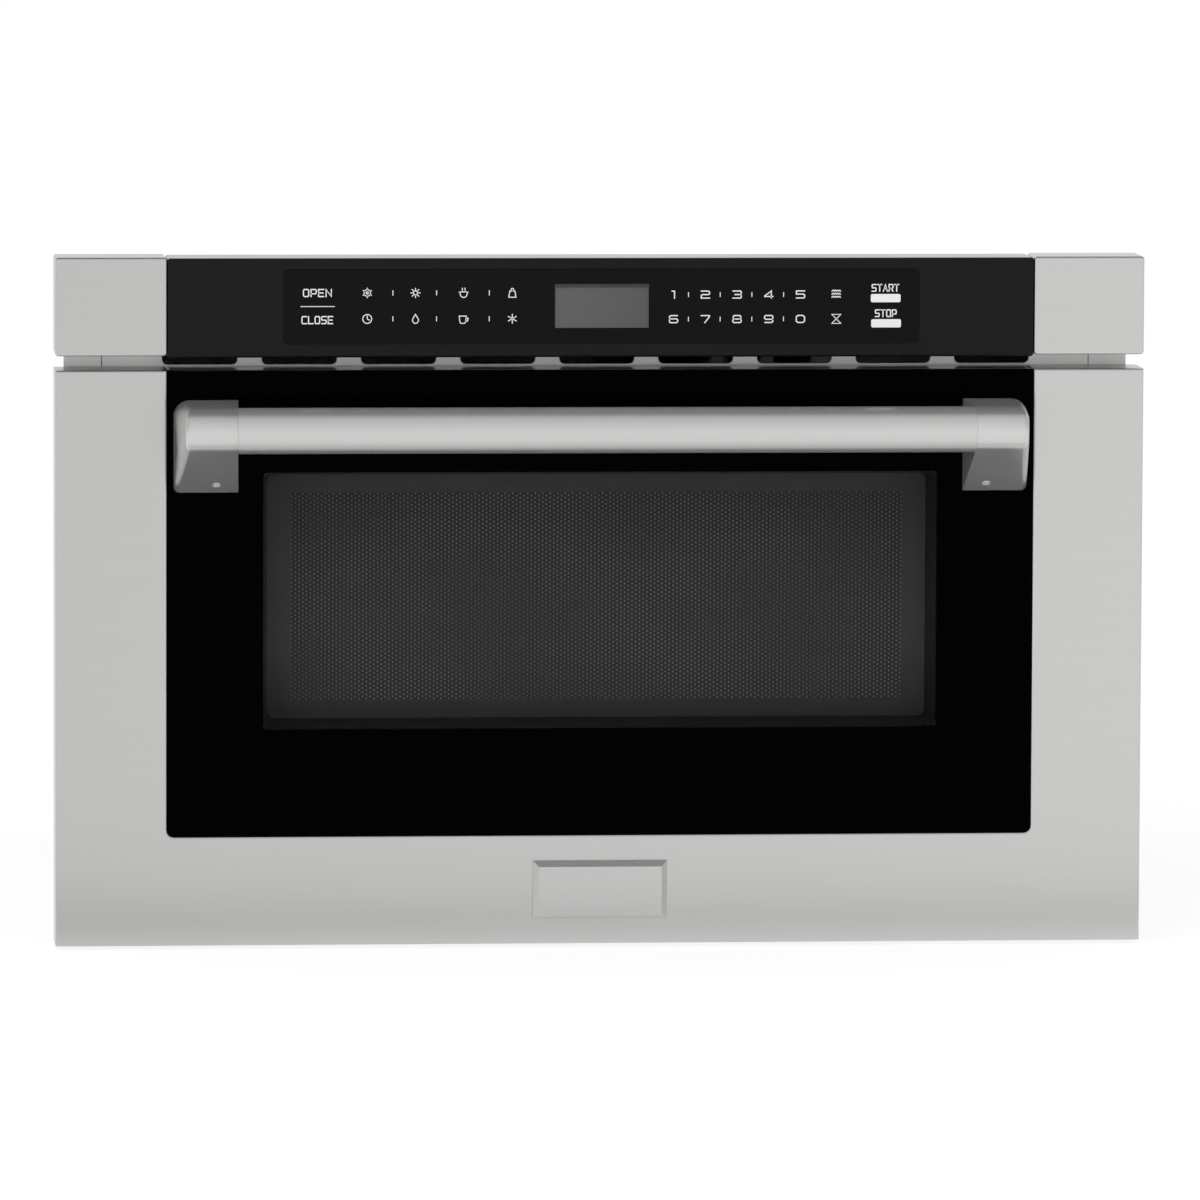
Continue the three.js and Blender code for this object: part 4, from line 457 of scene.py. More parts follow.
# Laminations and enamelled copper: a dull grey stack, with ribbed coppery coils in front and behind.
windings, tree, shader, place = material("enamelled_copper_and_laminations", "9a5a36", Metallic=1)
low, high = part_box("transformer")
turns = textured(tree, place, "TexWave", WINDING_WIRE, bands_direction="Z").outputs["Fac"]
split = put(tree, "SeparateXYZ", {"Vector": place}).outputs["Y"]
offset = put(tree, "Math", {0: split, 1: (low.y + high.y) / 2}, operation="SUBTRACT").outputs[0]
depth = put(tree, "Math", {0: offset}, operation="ABSOLUTE").outputs[0]
start, end = CORE_HALF / PER_METRE, (CORE_HALF + CORE_EDGE) / PER_METRE
coil = put(tree, "MapRange", {"Value": depth, "From Min": start, "From Max": end}).outputs["Result"]
wire_tones = {0: turns, 6: linear("7d4526"), 7: linear("b56a40")}
copper = put(tree, "Mix", wire_tones, data_type="RGBA").outputs[2]
varied(tree, shader, coil, (0.55, 0.35), ("6d6f70", copper))
dress(windings, "transformer")

# Glass-epoxy board: green and satin, with paler tracks.
board, tree, shader, place = material("glass_epoxy_board", "2c6742", IOR=1.52)
greens = {"Color1": linear("2a6440"), "Color2": linear("2f6d47"), "Mortar": linear("3f8157")}
tracks = textured(tree, place, "TexBrick", TRACK_PITCH, greens)
tree.links.new(tracks.outputs["Color"], shader.inputs["Base Color"])
varied(tree, shader, tracks.outputs["Fac"], (0.45, 0.3))
dress(board, "power_board", "control_board")

# ---- Drawer front
# One sheet of stainless steel, folded back all round and open at the top for the glass. It is brushed
# along its width, which draws fine level lines and softens what it mirrors. The end caps match it.

GRAIN_LENGTH = 60
GRAIN_DEPTH = 4
GRAIN_WIDTH = 0.5  # coarser than the real grit's, so that it shows
GRAIN_SHARE = 0.5  # of the grain in the tone, beside the painted reflection that drifts across the sheet
SHEET_WIDTH = 600  # mm over which the painted reflection drifts
PAINTED_REFLECTION_DRIFT = (-0.1, 0.6)  # of the tone, from one side to the other: painted reflection, lighter toward +x
STEEL = "c4c4c3"
FOLD_EDGE = 0.7  # rounding of the folds and cut edges, mm


def stainless(name, base, dull, bright, roughness, grain, edge=0, **inputs):
    """Brushed stainless steel: fine grain along x, under a painted reflection that grows a little lighter
    toward one side.
    """
    finish, tree, shader, place = material(name, base, **{"Metallic": 1, **inputs})
    lines = textured(tree, place, "TexNoise", grain, {"Detail": 2}).outputs["Fac"]
    # Painted reflection: the tone grows lighter from -x to +x across the sheet.
    along = put(tree, "SeparateXYZ", {"Vector": place}).outputs["X"]
    half = SHEET_WIDTH / 2 / PER_METRE
    sides = {"Value": along, "From Min": -half, "From Max": half}
    painted_reflection_drift = put(tree, "MapRange", {**sides, "To Min": PAINTED_REFLECTION_DRIFT[0], "To Max": PAINTED_REFLECTION_DRIFT[1]}).outputs["Result"]
    shares = {0: lines, 1: GRAIN_SHARE, 2: painted_reflection_drift}
    spread = put(tree, "Math", shares, operation="MULTIPLY_ADD").outputs[0]
    varied(tree, shader, spread, tones=(dull, bright))
    varied(tree, shader, lines, roughness)
    raised(tree, shader, lines, 0.004, edge)
    return finish


sheet_grain = (GRAIN_LENGTH, GRAIN_DEPTH, GRAIN_WIDTH)
brushed = stainless(
    "brushed_stainless", STEEL, "bdbdbc", "cbcbca", (0.27, 0.33), sheet_grain, FOLD_EDGE
)
dress(brushed, "door_frame", "end_cap_left", "end_cap_right")

# ---- Door glass
# A pane of tempered glass, printed black from behind all round a clear window. The clear pane is a piece
# of its own here, so that the print is opaque and the window shows what lies behind it.

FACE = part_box("door_frame")[0].y * PER_METRE  # the front face, from which depths are given
WINDOW_WIDTH = 375
WINDOW_HEIGHT = 143
WINDOW_CORNER = 2.5
WINDOW_PLAY = 0.1  # between the clear pane and the print round it
PANE_INSET = 0.2  # of the clear pane's faces from the glass's
LOWER_CORNER = 3.7
UPPER_CORNER = 0.6
PRINT_TONE = "030303"
EDGE_POLISH = 0.35
WIPE_MARK = 90  # mm across the marks of a cloth
MERGE = 1e-4  # mm within which two points are one


def rounded(middle, size, corners, steps=8):
    """A rectangle's outline in the x-z plane, with corners rounded from the low right anticlockwise."""
    if not isinstance(corners, tuple):
        corners = (corners,) * 4
    half_x, half_z = size[0] / 2, size[1] / 2
    points = []
    for turn, radius in enumerate(corners):
        across = (1, 1, -1, -1)[turn] * (half_x - radius)
        up = (-1, 1, 1, -1)[turn] * (half_z - radius)
        for step in range(steps + 1 if radius else 1):
            angle = math.radians(90 * (turn - 1) + 90 * step / steps)
            along = (across + radius * math.cos(angle), up + radius * math.sin(angle))
            points.append((middle[0] + along[0], middle[1] + along[1]))
    return points


def sheet(name, outlines, depths, edge=0):
    """A flat piece that faces the front, from outlines in x and z and two depths behind the front face."""
    drawn = bpy.data.curves.new(name, "CURVE")
    drawn.dimensions = "2D"
    drawn.fill_mode = "BOTH"
    drawn.extrude = (depths[1] - depths[0]) / 2 - edge
    drawn.bevel_depth = edge
    drawn.bevel_resolution = 2
    drawn.offset = -edge
    for outline in outlines:
        spline = drawn.splines.new("POLY")
        spline.points.add(len(outline) - 1)
        for point, (x, z) in zip(spline.points, outline):
            point.co = (x, z, 0, 1)
        spline.use_cyclic_u = True
    holder = bpy.data.objects.new(name, drawn)
    mesh = bpy.data.meshes.new_from_object(holder)
    bpy.data.objects.remove(holder)
    made = bmesh.new()
    made.from_mesh(mesh)
    bmesh.ops.remove_doubles(made, verts=made.verts, dist=MERGE)
    middle = FACE + sum(depths) / 2
    made.transform(Matrix.Translation((0, middle, 0)) @ Matrix.Rotation(math.radians(90), 4, "X"))
    return solid(name, made)


def span(node):
    """Middle and size of a node in x and z, and how far its front and back lie behind the front face."""
    low, high = (corner * PER_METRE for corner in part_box(node))
    middle = ((low.x + high.x) / 2, (low.z + high.z) / 2)
    return middle, (high.x - low.x, high.z - low.z), (low.y - FACE, high.y - FACE)


window_middle = span("door_screen")[0]
middle, size, depths = span("door_glass")
corners = (LOWER_CORNER, UPPER_CORNER, UPPER_CORNER, LOWER_CORNER)
outline = rounded(middle, size, corners)
opening = rounded(window_middle, (WINDOW_WIDTH, WINDOW_HEIGHT), WINDOW_CORNER)
# Black printed glass: deep black under a polished face.
print_black, tree, shader, place = material(
    "black_printed_glass", PRINT_TONE, Roughness=0.04, IOR=1.5, Specular_IOR_Level=0.008
)
wipe = textured(tree, place, "TexNoise", WIPE_MARK, {"Detail": 5}).outputs["Fac"]
varied(tree, shader, wipe, (0.03, 0.08), ("010101", "020202"))
glass = sheet("front_glass", [outline, opening], depths, EDGE_POLISH)
finished(glass, print_black, "black_glass", "drawer", "door_glass")

# Clear tempered glass: it only darkens what lies behind it a little.
clear, tree, shader, place = material(
    "clear_tempered_glass", "050506", Roughness=0.04, IOR=1.5, Alpha=0.16, Specular_IOR_Level=0.05
)
wipe = textured(tree, place, "TexNoise", WIPE_MARK, {"Detail": 5}).outputs["Fac"]
varied(tree, shader, wipe, (0.03, 0.08))
pane_size = (WINDOW_WIDTH - WINDOW_PLAY, WINDOW_HEIGHT - WINDOW_PLAY)
pane_outline = rounded(window_middle, pane_size, WINDOW_CORNER)
pane = sheet("window_pane", [pane_outline], (depths[0] + PANE_INSET, depths[1] - PANE_INSET))
finished(pane, clear, "window_glass", "drawer")

# ---- Carrier
# Glossy black moulding behind the glass. Its window is a tunnel back to the screen, and its top is a ledge
# that mirrors the vents over the drawer.

MOULD_RIPPLE = 14  # mm

# Glossy moulded plastic: black, with the slight ripple that its mould leaves in what it mirrors.
moulded, tree, shader, place = material("glossy_moulded_black", "121213", IOR=1.53)
ripple = textured(tree, place, "TexNoise", MOULD_RIPPLE, {"Detail": 2}).outputs["Fac"]
varied(tree, shader, ripple, (0.1, 0.2), ("101011", "171718"))
raised(tree, shader, ripple, 0.01)
dress(moulded, "door_carrier")

# ---- Screen
# Steel sheet with punched holes behind the window, under a dark grey enamel. The holes are staggered, and
# painted light shows in them as light dots, stronger in some places than in others. Painted shade darkens
# the lower margin.

HOLE_COLUMNS = 2.09  # mm from column to column
HOLE_ROWS = 2.41
HOLE_RADIUS = 0.45
HOLE_BLUR = 0.12  # over which a hole fades into the sheet, on either side of its edge
HOLES_WIDTH = 341
HOLES_HEIGHT = 116
HOLES_EDGE = 0.1  # over which the field of holes ends
SHADE_FROM = 30  # below the middle, from where painted shade darkens the enamel
SHADE_TO = 68
PATCH_SIZE = (90, 90, 60)  # of the places where the painted light in the holes is stronger
PATCHES = (0.35, 0.65)  # part of the noise over which the painted light in the holes grows stronger
WHOLE_CELLS = 100  # added, so that the fractions are taken of positive numbers

# Punched sheet under enamel: dark grey and dull, with a dot of painted light for each hole and painted
# shade below.
screen, tree, shader, place = material(
    "punched_enamelled_screen", "343435", Roughness=0.5, Specular_IOR_Level=0.2
)
origin = (0, 0, window_middle[1] / PER_METRE)
local = put(tree, "VectorMath", {0: place, 1: origin}, operation="SUBTRACT").outputs[0]
cells = [size / PER_METRE for size in (2 * HOLE_COLUMNS, 1, HOLE_ROWS)]
hole_cell = (2 * HOLE_COLUMNS, 0, HOLE_ROWS)
nearest = []
# Two grids of holes, half a cell apart both ways, make the staggered rows.
for shift in (0.25, 0.75):
    grid = put(tree, "VectorMath", {0: local, 1: cells}, operation="DIVIDE").outputs[0]
    step = (shift + WHOLE_CELLS, 0, shift + WHOLE_CELLS)
    moved = put(tree, "VectorMath", {0: grid, 1: step}, operation="ADD").outputs[0]
    inside = put(tree, "VectorMath", {0: moved}, operation="FRACTION").outputs[0]
    centred = put(tree, "VectorMath", {0: inside, 1: (0.5, 0, 0.5)}, operation="SUBTRACT").outputs[0]
    real = put(tree, "VectorMath", {0: centred, 1: hole_cell}, operation="MULTIPLY").outputs[0]
    nearest.append(put(tree, "VectorMath", {0: real}, operation="LENGTH").outputs["Value"])
closest = put(tree, "Math", {0: nearest[0], 1: nearest[1]}, operation="MINIMUM").outputs[0]
start, end = HOLE_RADIUS - HOLE_BLUR, HOLE_RADIUS + HOLE_BLUR
rim = {"Value": closest, "From Min": start, "From Max": end, "To Min": 1, "To Max": 0}
hole = put(tree, "MapRange", rim).outputs["Result"]
sides = put(tree, "VectorMath", {0: local}, operation="ABSOLUTE").outputs[0]
reach = put(tree, "SeparateXYZ", {"Vector": sides})
reach_z = put(tree, "SeparateXYZ", {"Vector": local}).outputs["Z"]
within = []
for axis, across in (("X", HOLES_WIDTH), ("Z", HOLES_HEIGHT)):
    start, end = across / 2 / PER_METRE, (across / 2 + HOLES_EDGE) / PER_METRE
    rim = {"Value": reach.outputs[axis], "From Min": start, "From Max": end, "To Min": 1, "To Max": 0}
    within.append(put(tree, "MapRange", rim).outputs["Result"])
field = put(tree, "Math", {0: within[0], 1: within[1]}, operation="MULTIPLY").outputs[0]
punched = put(tree, "Math", {0: hole, 1: field}, operation="MULTIPLY").outputs[0]
# Painted light in the holes, stronger in some patches than in others.
glow = textured(tree, place, "TexNoise", PATCH_SIZE, {"Detail": 4}).outputs["Fac"]
uneven = {"Value": glow, "From Min": PATCHES[0], "From Max": PATCHES[1]}
hole_light_patches = put(tree, "MapRange", uneven).outputs["Result"]
dots = {0: hole_light_patches, 6: linear("6c6c6d"), 7: linear("929293")}
light = put(tree, "Mix", dots, data_type="RGBA").outputs[2]
# Painted shade: the enamel outside the field of holes grows darker toward the bottom of the screen.
start, end = -SHADE_TO / PER_METRE, -SHADE_FROM / PER_METRE
lower_painted_shade = put(tree, "MapRange", {"Value": reach_z, "From Min": start, "From Max": end}).outputs["Result"]
edges = {0: lower_painted_shade, 6: linear("3a3a3b"), 7: linear("4f4f50")}
shaded_border = put(tree, "Mix", edges, data_type="RGBA").outputs[2]
sheet_tones = {0: field, 6: shaded_border, 7: linear("3e3e3f")}
around_holes = put(tree, "Mix", sheet_tones, data_type="RGBA").outputs[2]
varied(tree, shader, punched, tones=(around_holes, light))
dress(screen, "door_screen")

# ---- Handle bar
# A round stainless bar whose turned-down ends go into the brackets, polished along its length with a fine
# grit. The satin polish blurs what it mirrors into level bands.

BAR_RADIUS = 12.7
BAR_HEIGHT = 291.4  # of its axis over the shelf
BRACKET_INNER = 201.4
BRACKET_OUTER = 237.3
HANDLE_REACH = 50
INNER_DRAFT = 2.7
OUTER_DRAFT = 4.7
BAR_SIDES = 144
JOINT = 0.04  # fine joint between bar and bracket
BAR_GRAIN = (120, 1.2, 1.2)  # coarser than the real grit's, so that it shows


def polished_round(finish):
    """Turns the grain to run along the bar, so that what it mirrors is blurred round it."""
    tree = finish.node_tree
    around = put(tree, "Tangent", direction_type="RADIAL", axis="X").outputs[0]
    tree.links.new(around, tree.nodes["Principled BSDF"].inputs["Tangent"])
    return finish


satin = polished_round(
    stainless(
        "satin_stainless",
        "cacac9",
        "c7c7c6",
        "cececd",
        roughness=(0.2, 0.26),
        grain=BAR_GRAIN,
        Metallic=0.72,
        Anisotropic=0.9,
    )
)
axis_y = FACE - HANDLE_REACH + BAR_RADIUS
axis_z = BAR_HEIGHT


def inner_plane(y):
    """How far from the middle the bracket's drafted inner side lies at a place along y."""
    return BRACKET_INNER + INNER_DRAFT * (FACE - y) / HANDLE_REACH


made = bmesh.new()
rings = []
for side, inset, shrink in ((-1, 0, JOINT), (-1, JOINT, 0), (1, JOINT, 0), (1, 0, JOINT)):
    ring = []
    for i in range(BAR_SIDES):
        angle = 2 * math.pi * i / BAR_SIDES
        y = axis_y + (BAR_RADIUS - shrink) * math.cos(angle)
        z = axis_z + (BAR_RADIUS - shrink) * math.sin(angle)
        ring.append(made.verts.new((side * (inner_plane(y) - JOINT - inset), y, z)))
    rings.append(ring)
for first, second in zip(rings, rings[1:]):
    for i in range(BAR_SIDES):
        after = (i + 1) % BAR_SIDES
        made.faces.new([first[i], first[after], second[after], second[i]])
made.faces.new(rings[0])
made.faces.new(rings[-1])
bar = solid("grip_bar", made)
finished(bar, satin, "satin_steel", "drawer", "handle_bar")

# ---- Handle brackets
# Stainless castings, polished like the bar but duller. Flat tangent sides run from the foot on the glass
# out to a nose of the bar's diameter, and a set screw in the underside clamps the bar.

CAST_GRAIN = (60, 1.2, 1.2)
BLASTED_PIT = 0.3
BRACKET_TOP = 305.6
BRACKET_BOTTOM = 254.4
EDGE_ROUND = 3.2
INNER_EDGE = 0.15
SHOULDER_ROUND = 9
TOE_ROUND = 3
SIDE_STEPS = 9
NOSE_STEPS = 40
EDGE_STEPS = 14
EDGE_CROWDING = 1.6  # power that crowds the slices toward the outer side
BRACKET_SHARP = 35  # degrees
SCREW_RECESS = 2.7  # radius of the hole for the set screw, at its mouth
RECESS_CHAMFER = 0.2
RECESS_FLOOR = 4.6
TOOL_RISE = 0.5  # of the cutter, over the surface that it cuts
SCREW_FROM_GLASS = 8
SCREW_FROM_INNER = 12.5
SCREW_PLAY = 0.1  # round the set screw, and over its crown
CROWN = 0.9  # rise of the set screw's domed end
CROWN_ANGLES = range(90, 25, -8)  # degrees from the screw's axis
SOCKET = 0.8  # radius
SOCKET_DEPTH = 1.2
SOCKET_TIP = 1.6

# The set screws are of blasted nickel, whose fine pits scatter the light evenly.
blasted, tree, shader, place = material("blasted_nickel", "ececea", Metallic=0.35)
pits = textured(tree, place, "TexNoise", BLASTED_PIT).outputs["Fac"]
varied(tree, shader, pits, (0.35, 0.5), ("e6e6e4", "f2f2f1"))

cast = polished_round(
    stainless(
        "polished_cast_stainless",
        "cdcdcc",
        "cacac9",
        "d1d1d0",
        roughness=(0.22, 0.28),
        grain=CAST_GRAIN,
        Metallic=0.76,
        Anisotropic=0.8,
    )
)


def touching(z, side):
    """Angle on the bar's circle where a line from a corner of the foot touches it."""
    y, rise = FACE - axis_y, z - axis_z
    return math.atan2(rise, y) + side * math.acos(BAR_RADIUS / math.hypot(y, rise))


def slice_points(inset, lowest, highest):
    """The bracket's outline in y and z, drawn in by an inset, and kept between two heights."""
    radius = BAR_RADIUS - inset
    start, end = touching(BRACKET_BOTTOM, -1) + 2 * math.pi, touching(BRACKET_TOP, 1)
    points = []
    for angle in (start, end):
        height = axis_z + (radius - (FACE - axis_y) * math.cos(angle)) / math.sin(angle)
        points.append((FACE, height))
    foot, top = points
    shares = [step / SIDE_STEPS for step in range(1, SIDE_STEPS)]
    path = [foot]
    touch = (axis_y + radius * math.cos(start), axis_z + radius * math.sin(start))
    for share in shares:
        path.append([a + (b - a) * share for a, b in zip(foot, touch)])
    for step in range(NOSE_STEPS + 1):
        angle = start + (end - start) * step / NOSE_STEPS
        path.append((axis_y + radius * math.cos(angle), axis_z + radius * math.sin(angle)))
    touch = (axis_y + radius * math.cos(end), axis_z + radius * math.sin(end))
    for share in shares:
        path.append([a + (b - a) * (1 - share) for a, b in zip(top, touch)])
    path.append(top)
    return [(y, min(max(z, lowest), highest)) for y, z in path]


def round_drop(distance, radius):
    """How far a rounded edge has fallen at a distance in from the side."""
    rest = max(radius - distance, 0)
    return radius - math.sqrt(radius * radius - rest * rest)


for name, side in (("left", -1), ("right", 1)):
    made = bmesh.new()
    slices = []
    for eased in (INNER_EDGE, INNER_EDGE / 3, 0):
        ring = []
        for y, z in slice_points(eased, BRACKET_BOTTOM + eased, BRACKET_TOP - eased):
            in_from_edge = round_drop(eased, INNER_EDGE)
            ring.append(made.verts.new((side * (inner_plane(y) + in_from_edge), y, z)))
        slices.append(ring)
    for step in range(EDGE_STEPS + 1):
        offset = SHOULDER_ROUND * (1 - step / EDGE_STEPS) ** EDGE_CROWDING
        lowest = BRACKET_BOTTOM + round_drop(offset, TOE_ROUND)
        highest = BRACKET_TOP - round_drop(offset, SHOULDER_ROUND)
        ring = []
        for y, z in slice_points(round_drop(offset, EDGE_ROUND), lowest, highest):
            across = BRACKET_OUTER - OUTER_DRAFT * (FACE - y) / HANDLE_REACH - offset
            ring.append(made.verts.new((side * across, y, z)))
        slices.append(ring)
    for first, second in zip(slices, slices[1:]):
        for i in range(len(first)):
            made.faces.new([first[i - 1], first[i], second[i], second[i - 1]])
    made.faces.new(slices[0])
    made.faces.new(slices[-1])
    bmesh.ops.remove_doubles(made, verts=made.verts, dist=MERGE)
    bmesh.ops.dissolve_degenerate(made, edges=made.edges, dist=MERGE)
    bracket = solid(f"bracket_{name}", made, smooth=BRACKET_SHARP)
    # The recess and its screw stand square to the sloping underside.
    start = touching(BRACKET_BOTTOM, -1)
    outward = Vector((0, math.cos(start), math.sin(start)))
    slope = Vector((0, -math.sin(start), math.cos(start)))
    if slope.y > 0:
        slope = -slope
    centre = Vector((side * (BRACKET_INNER + SCREW_FROM_INNER), FACE, BRACKET_BOTTOM))
    centre += slope * (SCREW_FROM_GLASS / abs(slope.y))
    facing = outward.to_track_quat("Z", "Y").to_matrix().to_4x4()
    tool = bmesh.new()
    wall = SCREW_RECESS - RECESS_CHAMFER
    mouth = [(wall, -RECESS_CHAMFER), (SCREW_RECESS + TOOL_RISE, TOOL_RISE), (0, TOOL_RISE)]
    turned(tool, [(0, -RECESS_FLOOR), (wall, -RECESS_FLOOR), *mouth])
    tool.transform(Matrix.Translation(centre) @ facing)
    cut(bracket, solid("recess_tool", tool))
    bracket.data.set_sharp_from_angle(angle=math.radians(BRACKET_SHARP))
    finished(bracket, cast, "satin_steel", "drawer", f"handle_bracket_{name}")
    screw = bmesh.new()
    rim = wall - SCREW_PLAY
    crown = []
    for degrees in CROWN_ANGLES:
        angle = math.radians(degrees)
        crown.append((rim * math.sin(angle), CROWN * math.cos(angle) - CROWN - SCREW_PLAY))
    lip = crown[-1][1]
    socket = [(SOCKET, lip), (SOCKET, lip - SOCKET_DEPTH), (0, lip - SOCKET_TIP)]
    turned(screw, [(0, -RECESS_FLOOR), (rim, -RECESS_FLOOR), *crown, *socket], 24)
    screw.transform(Matrix.Translation(centre) @ facing)
    finished(solid(f"set_screw_{name}", screw), blasted, "satin_steel", "drawer")

# ---- Plate on the bottom rail
# A bare, bevelled plate of stainless steel, stuck to the middle of the rail. Its face is ground, which
# leaves a grain half as long as that of the sheet round it.

plate_grain = (GRAIN_LENGTH / 2, GRAIN_DEPTH / 2, GRAIN_WIDTH)
ground = stainless(
    "ground_stainless_plate", "c2c2c1", "bebebd", "c8c8c7", (0.22, 0.3), plate_grain, Metallic=0.75
)
dress(ground, "name_plate")

# ---- Control panel
# A glossy black moulding between the stainless end caps. The printed overlay lies in a shallow recess in
# it, with a grey display window in its middle.

PANEL_TONE = "111112"
OVERLAY_TONE = "111111"
FILM_GAP = 0.3
FILM_CORNER = 2.5
FILM_EDGE = 0.12  # rounding of the film's edges
DISPLAY_SIZE = (52.7, 24.8)
DISPLAY_CORNER = 0.6
DISPLAY_TONE = "5f5f5e"
CELL_PLAY = 0.5  # by which the cell is smaller than its window
CELL_CORNER = 0.4
CELL_GAP = 0.1  # behind the film
BOARD_GAP = 0.05  # before the board
SOFT_EDGE = 0.05  # rounding of the cell's and the shade strip's edges
SHADE_STRIP_HEIGHT = 1.8
SHADE_STRIP_CORNER = 0.3
SHADE_STRIP_DEPTH = 0.3  # behind the film's face
PANEL_HAZE = 50  # mm
FILM_SHEEN = 30
CELL_MOTTLE = 4

# Glossy ABS: moulded black, with a faint haze.
gloss, tree, shader, place = material("glossy_black_abs", PANEL_TONE, IOR=1.53, Specular_IOR_Level=0.11)
haze = textured(tree, place, "TexNoise", PANEL_HAZE, {"Detail": 6}).outputs["Fac"]
varied(tree, shader, haze, (0.08, 0.16), ("101011", "131314"))
dress(gloss, "control_panel")

# Printed touch film: as black as the panel, and a little duller.
film, tree, shader, place = material("printed_touch_film", OVERLAY_TONE, IOR=1.5, Specular_IOR_Level=0.05)
sheen = textured(tree, place, "TexNoise", FILM_SHEEN, {"Detail": 6}).outputs["Fac"]
varied(tree, shader, sheen, (0.12, 0.2), ("101010", "131313"))
overlay_middle, size, depths = span("control_overlay")
film_size = (size[0] - 2 * FILM_GAP, size[1] - 2 * FILM_GAP)
outline = rounded(overlay_middle, film_size, FILM_CORNER)
opening = rounded(overlay_middle, DISPLAY_SIZE, DISPLAY_CORNER)
overlay = sheet("touch_film", [outline, opening], depths, FILM_EDGE)
finished(overlay, film, "black_glass", "chassis", "control_overlay")

# Liquid-crystal cell: grey and still behind its window, a little darker toward its right.
cell, tree, shader, place = material(
    "liquid_crystal_cell", DISPLAY_TONE, Roughness=0.25, Specular_IOR_Level=0.1
)
across = put(tree, "SeparateXYZ", {"Vector": place}).outputs["X"]
half = DISPLAY_SIZE[0] / 2 / PER_METRE
rightward = put(tree, "MapRange", {"Value": across, "From Min": -half, "From Max": half})
greys = {0: rightward.outputs["Result"], 6: linear("606060"), 7: linear("5a5a59")}
shade = put(tree, "Mix", greys, data_type="RGBA").outputs[2]
mottle = textured(tree, place, "TexNoise", CELL_MOTTLE).outputs["Fac"]
faint = put(tree, "MapRange", {"Value": mottle, "To Max": 0.06}).outputs["Result"]
varied(tree, shader, faint, tones=(shade, "707070"))
low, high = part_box("control_board")
display_depth = low.y * PER_METRE - FACE
back = depths[1]
cell_size = (DISPLAY_SIZE[0] - CELL_PLAY, DISPLAY_SIZE[1] - CELL_PLAY)
outline = rounded(overlay_middle, cell_size, CELL_CORNER)
cell_depths = (back + CELL_GAP, display_depth - BOARD_GAP)
display = sheet("display_cell", [outline], cell_depths, SOFT_EDGE)
finished(display, cell, "window_glass", "chassis")
# A dark rubber strip along the top of the display window is painted shade: it stands for the shadow that
# the window's upper edge casts on the cell.
shade_strip_rise = DISPLAY_SIZE[1] / 2 - SHADE_STRIP_HEIGHT / 2
shade_strip_middle = (overlay_middle[0], overlay_middle[1] + shade_strip_rise)
outline = rounded(shade_strip_middle, (DISPLAY_SIZE[0], SHADE_STRIP_HEIGHT), SHADE_STRIP_CORNER)
top_shade_strip = sheet("display_shade_strip", [outline], (depths[0] + SHADE_STRIP_DEPTH, back), SOFT_EDGE)
finished(top_shade_strip, silicone, "silicone_rubber", "chassis")

# ---- Legends
# Screen-printed in white on the overlay: ten digits, the words that open, close, start and stop, and small
# pictures for the rest, in lines of even width. Two keys are printed as fields under their words.

INK_HEIGHT = 0.06  # mm over the film
INK_GAP = 0.005  # between the film and the ink's back
INK = "f1f1ef"
INK_MESH = 0.4  # mm, coarser than the mesh of the real screen, so that it shows
STROKE = 0.62  # line of digits and letters
SHARPEST = 0.5  # cosine at which a mitre grows no longer
LETTER_GAP = 0.45  # of a letter's width
WORD_LEFT = 3.9  # height of the words at the left end
WORD_RIGHT = 3.7
RULE = 0.4  # line between the words at the left end
KEY_SIZE = (16.6, 4.6)  # printed fields under the words at the right end
KEY_CORNER = 0.9
DIGIT_COLUMNS = 5
DIGIT_HEIGHT = 3.9
DIGIT_WIDTH = 4.6
DIGIT_PITCH = 17.65
FIRST_DIGIT = 39.8
UPPER_ROW = 363.6  # heights over the shelf
LOWER_ROW = 350
MARK_LINE = 0.45  # of the short marks between signs
MARK_HALF = 1.1
MARK_SHIFT = 0.6
PICTURE_SIZE = 5
PICTURE_LINE = 0.5
PICTURE_UPPER = 364.8
PICTURE_LOWER = 350.4
PICTURE_MARK_HALF = 1.2

# The lines of each sign, as points in hundredths of its box, with a slash between two lines.
signs = {
    "0": "20,0 80,0 100,20 100,80 80,100 20,100 0,80 0,20 20,0",
    "1": "30,100 60,100 60,0",
    "2": "0,100 85,100 100,85 100,62 88,50 12,50 0,40 0,0 100,0",
    "3": "0,100 90,100 100,88 100,12 90,0 0,0 / 25,50 100,50",
    "4": "80,0 80,100 0,30 0,22 100,22",
    "5": "100,100 0,100 0,55 85,55 100,42 100,12 88,0 0,0",
    "6": "95,100 15,100 0,85 0,15 12,0 88,0 100,14 100,40 88,54 0,54",
    "7": "0,100 100,100 100,85 45,0",
    "8": (
        "15,50 5,62 5,88 15,100 85,100 95,88 95,62 85,50 / "
        "15,50 0,38 0,12 12,0 88,0 100,12 100,38 85,50 15,50"
    ),
    "9": "5,0 85,0 100,15 100,85 88,100 12,100 0,86 0,60 12,46 100,46",
    "A": "0,0 50,100 100,0 / 20,36 80,36",
    "C": "100,100 15,100 0,85 0,15 15,0 100,0",
    "E": "100,100 0,100 0,0 100,0 / 0,50 85,50",
    "L": "0,100 0,0 100,0",
    "N": "0,0 0,100 100,0 100,100",
    "O": "15,0 85,0 100,15 100,85 85,100 15,100 0,85 0,15 15,0",
    "P": "0,0 0,100 85,100 100,88 100,50 85,38 0,38",
    "R": "0,0 0,100 85,100 100,88 100,54 85,42 0,42 / 55,42 100,0",
    "S": "100,100 12,100 0,88 0,62 12,50 88,50 100,38 100,12 88,0 0,0",
    "T": "0,100 100,100 / 50,100 50,0",
}


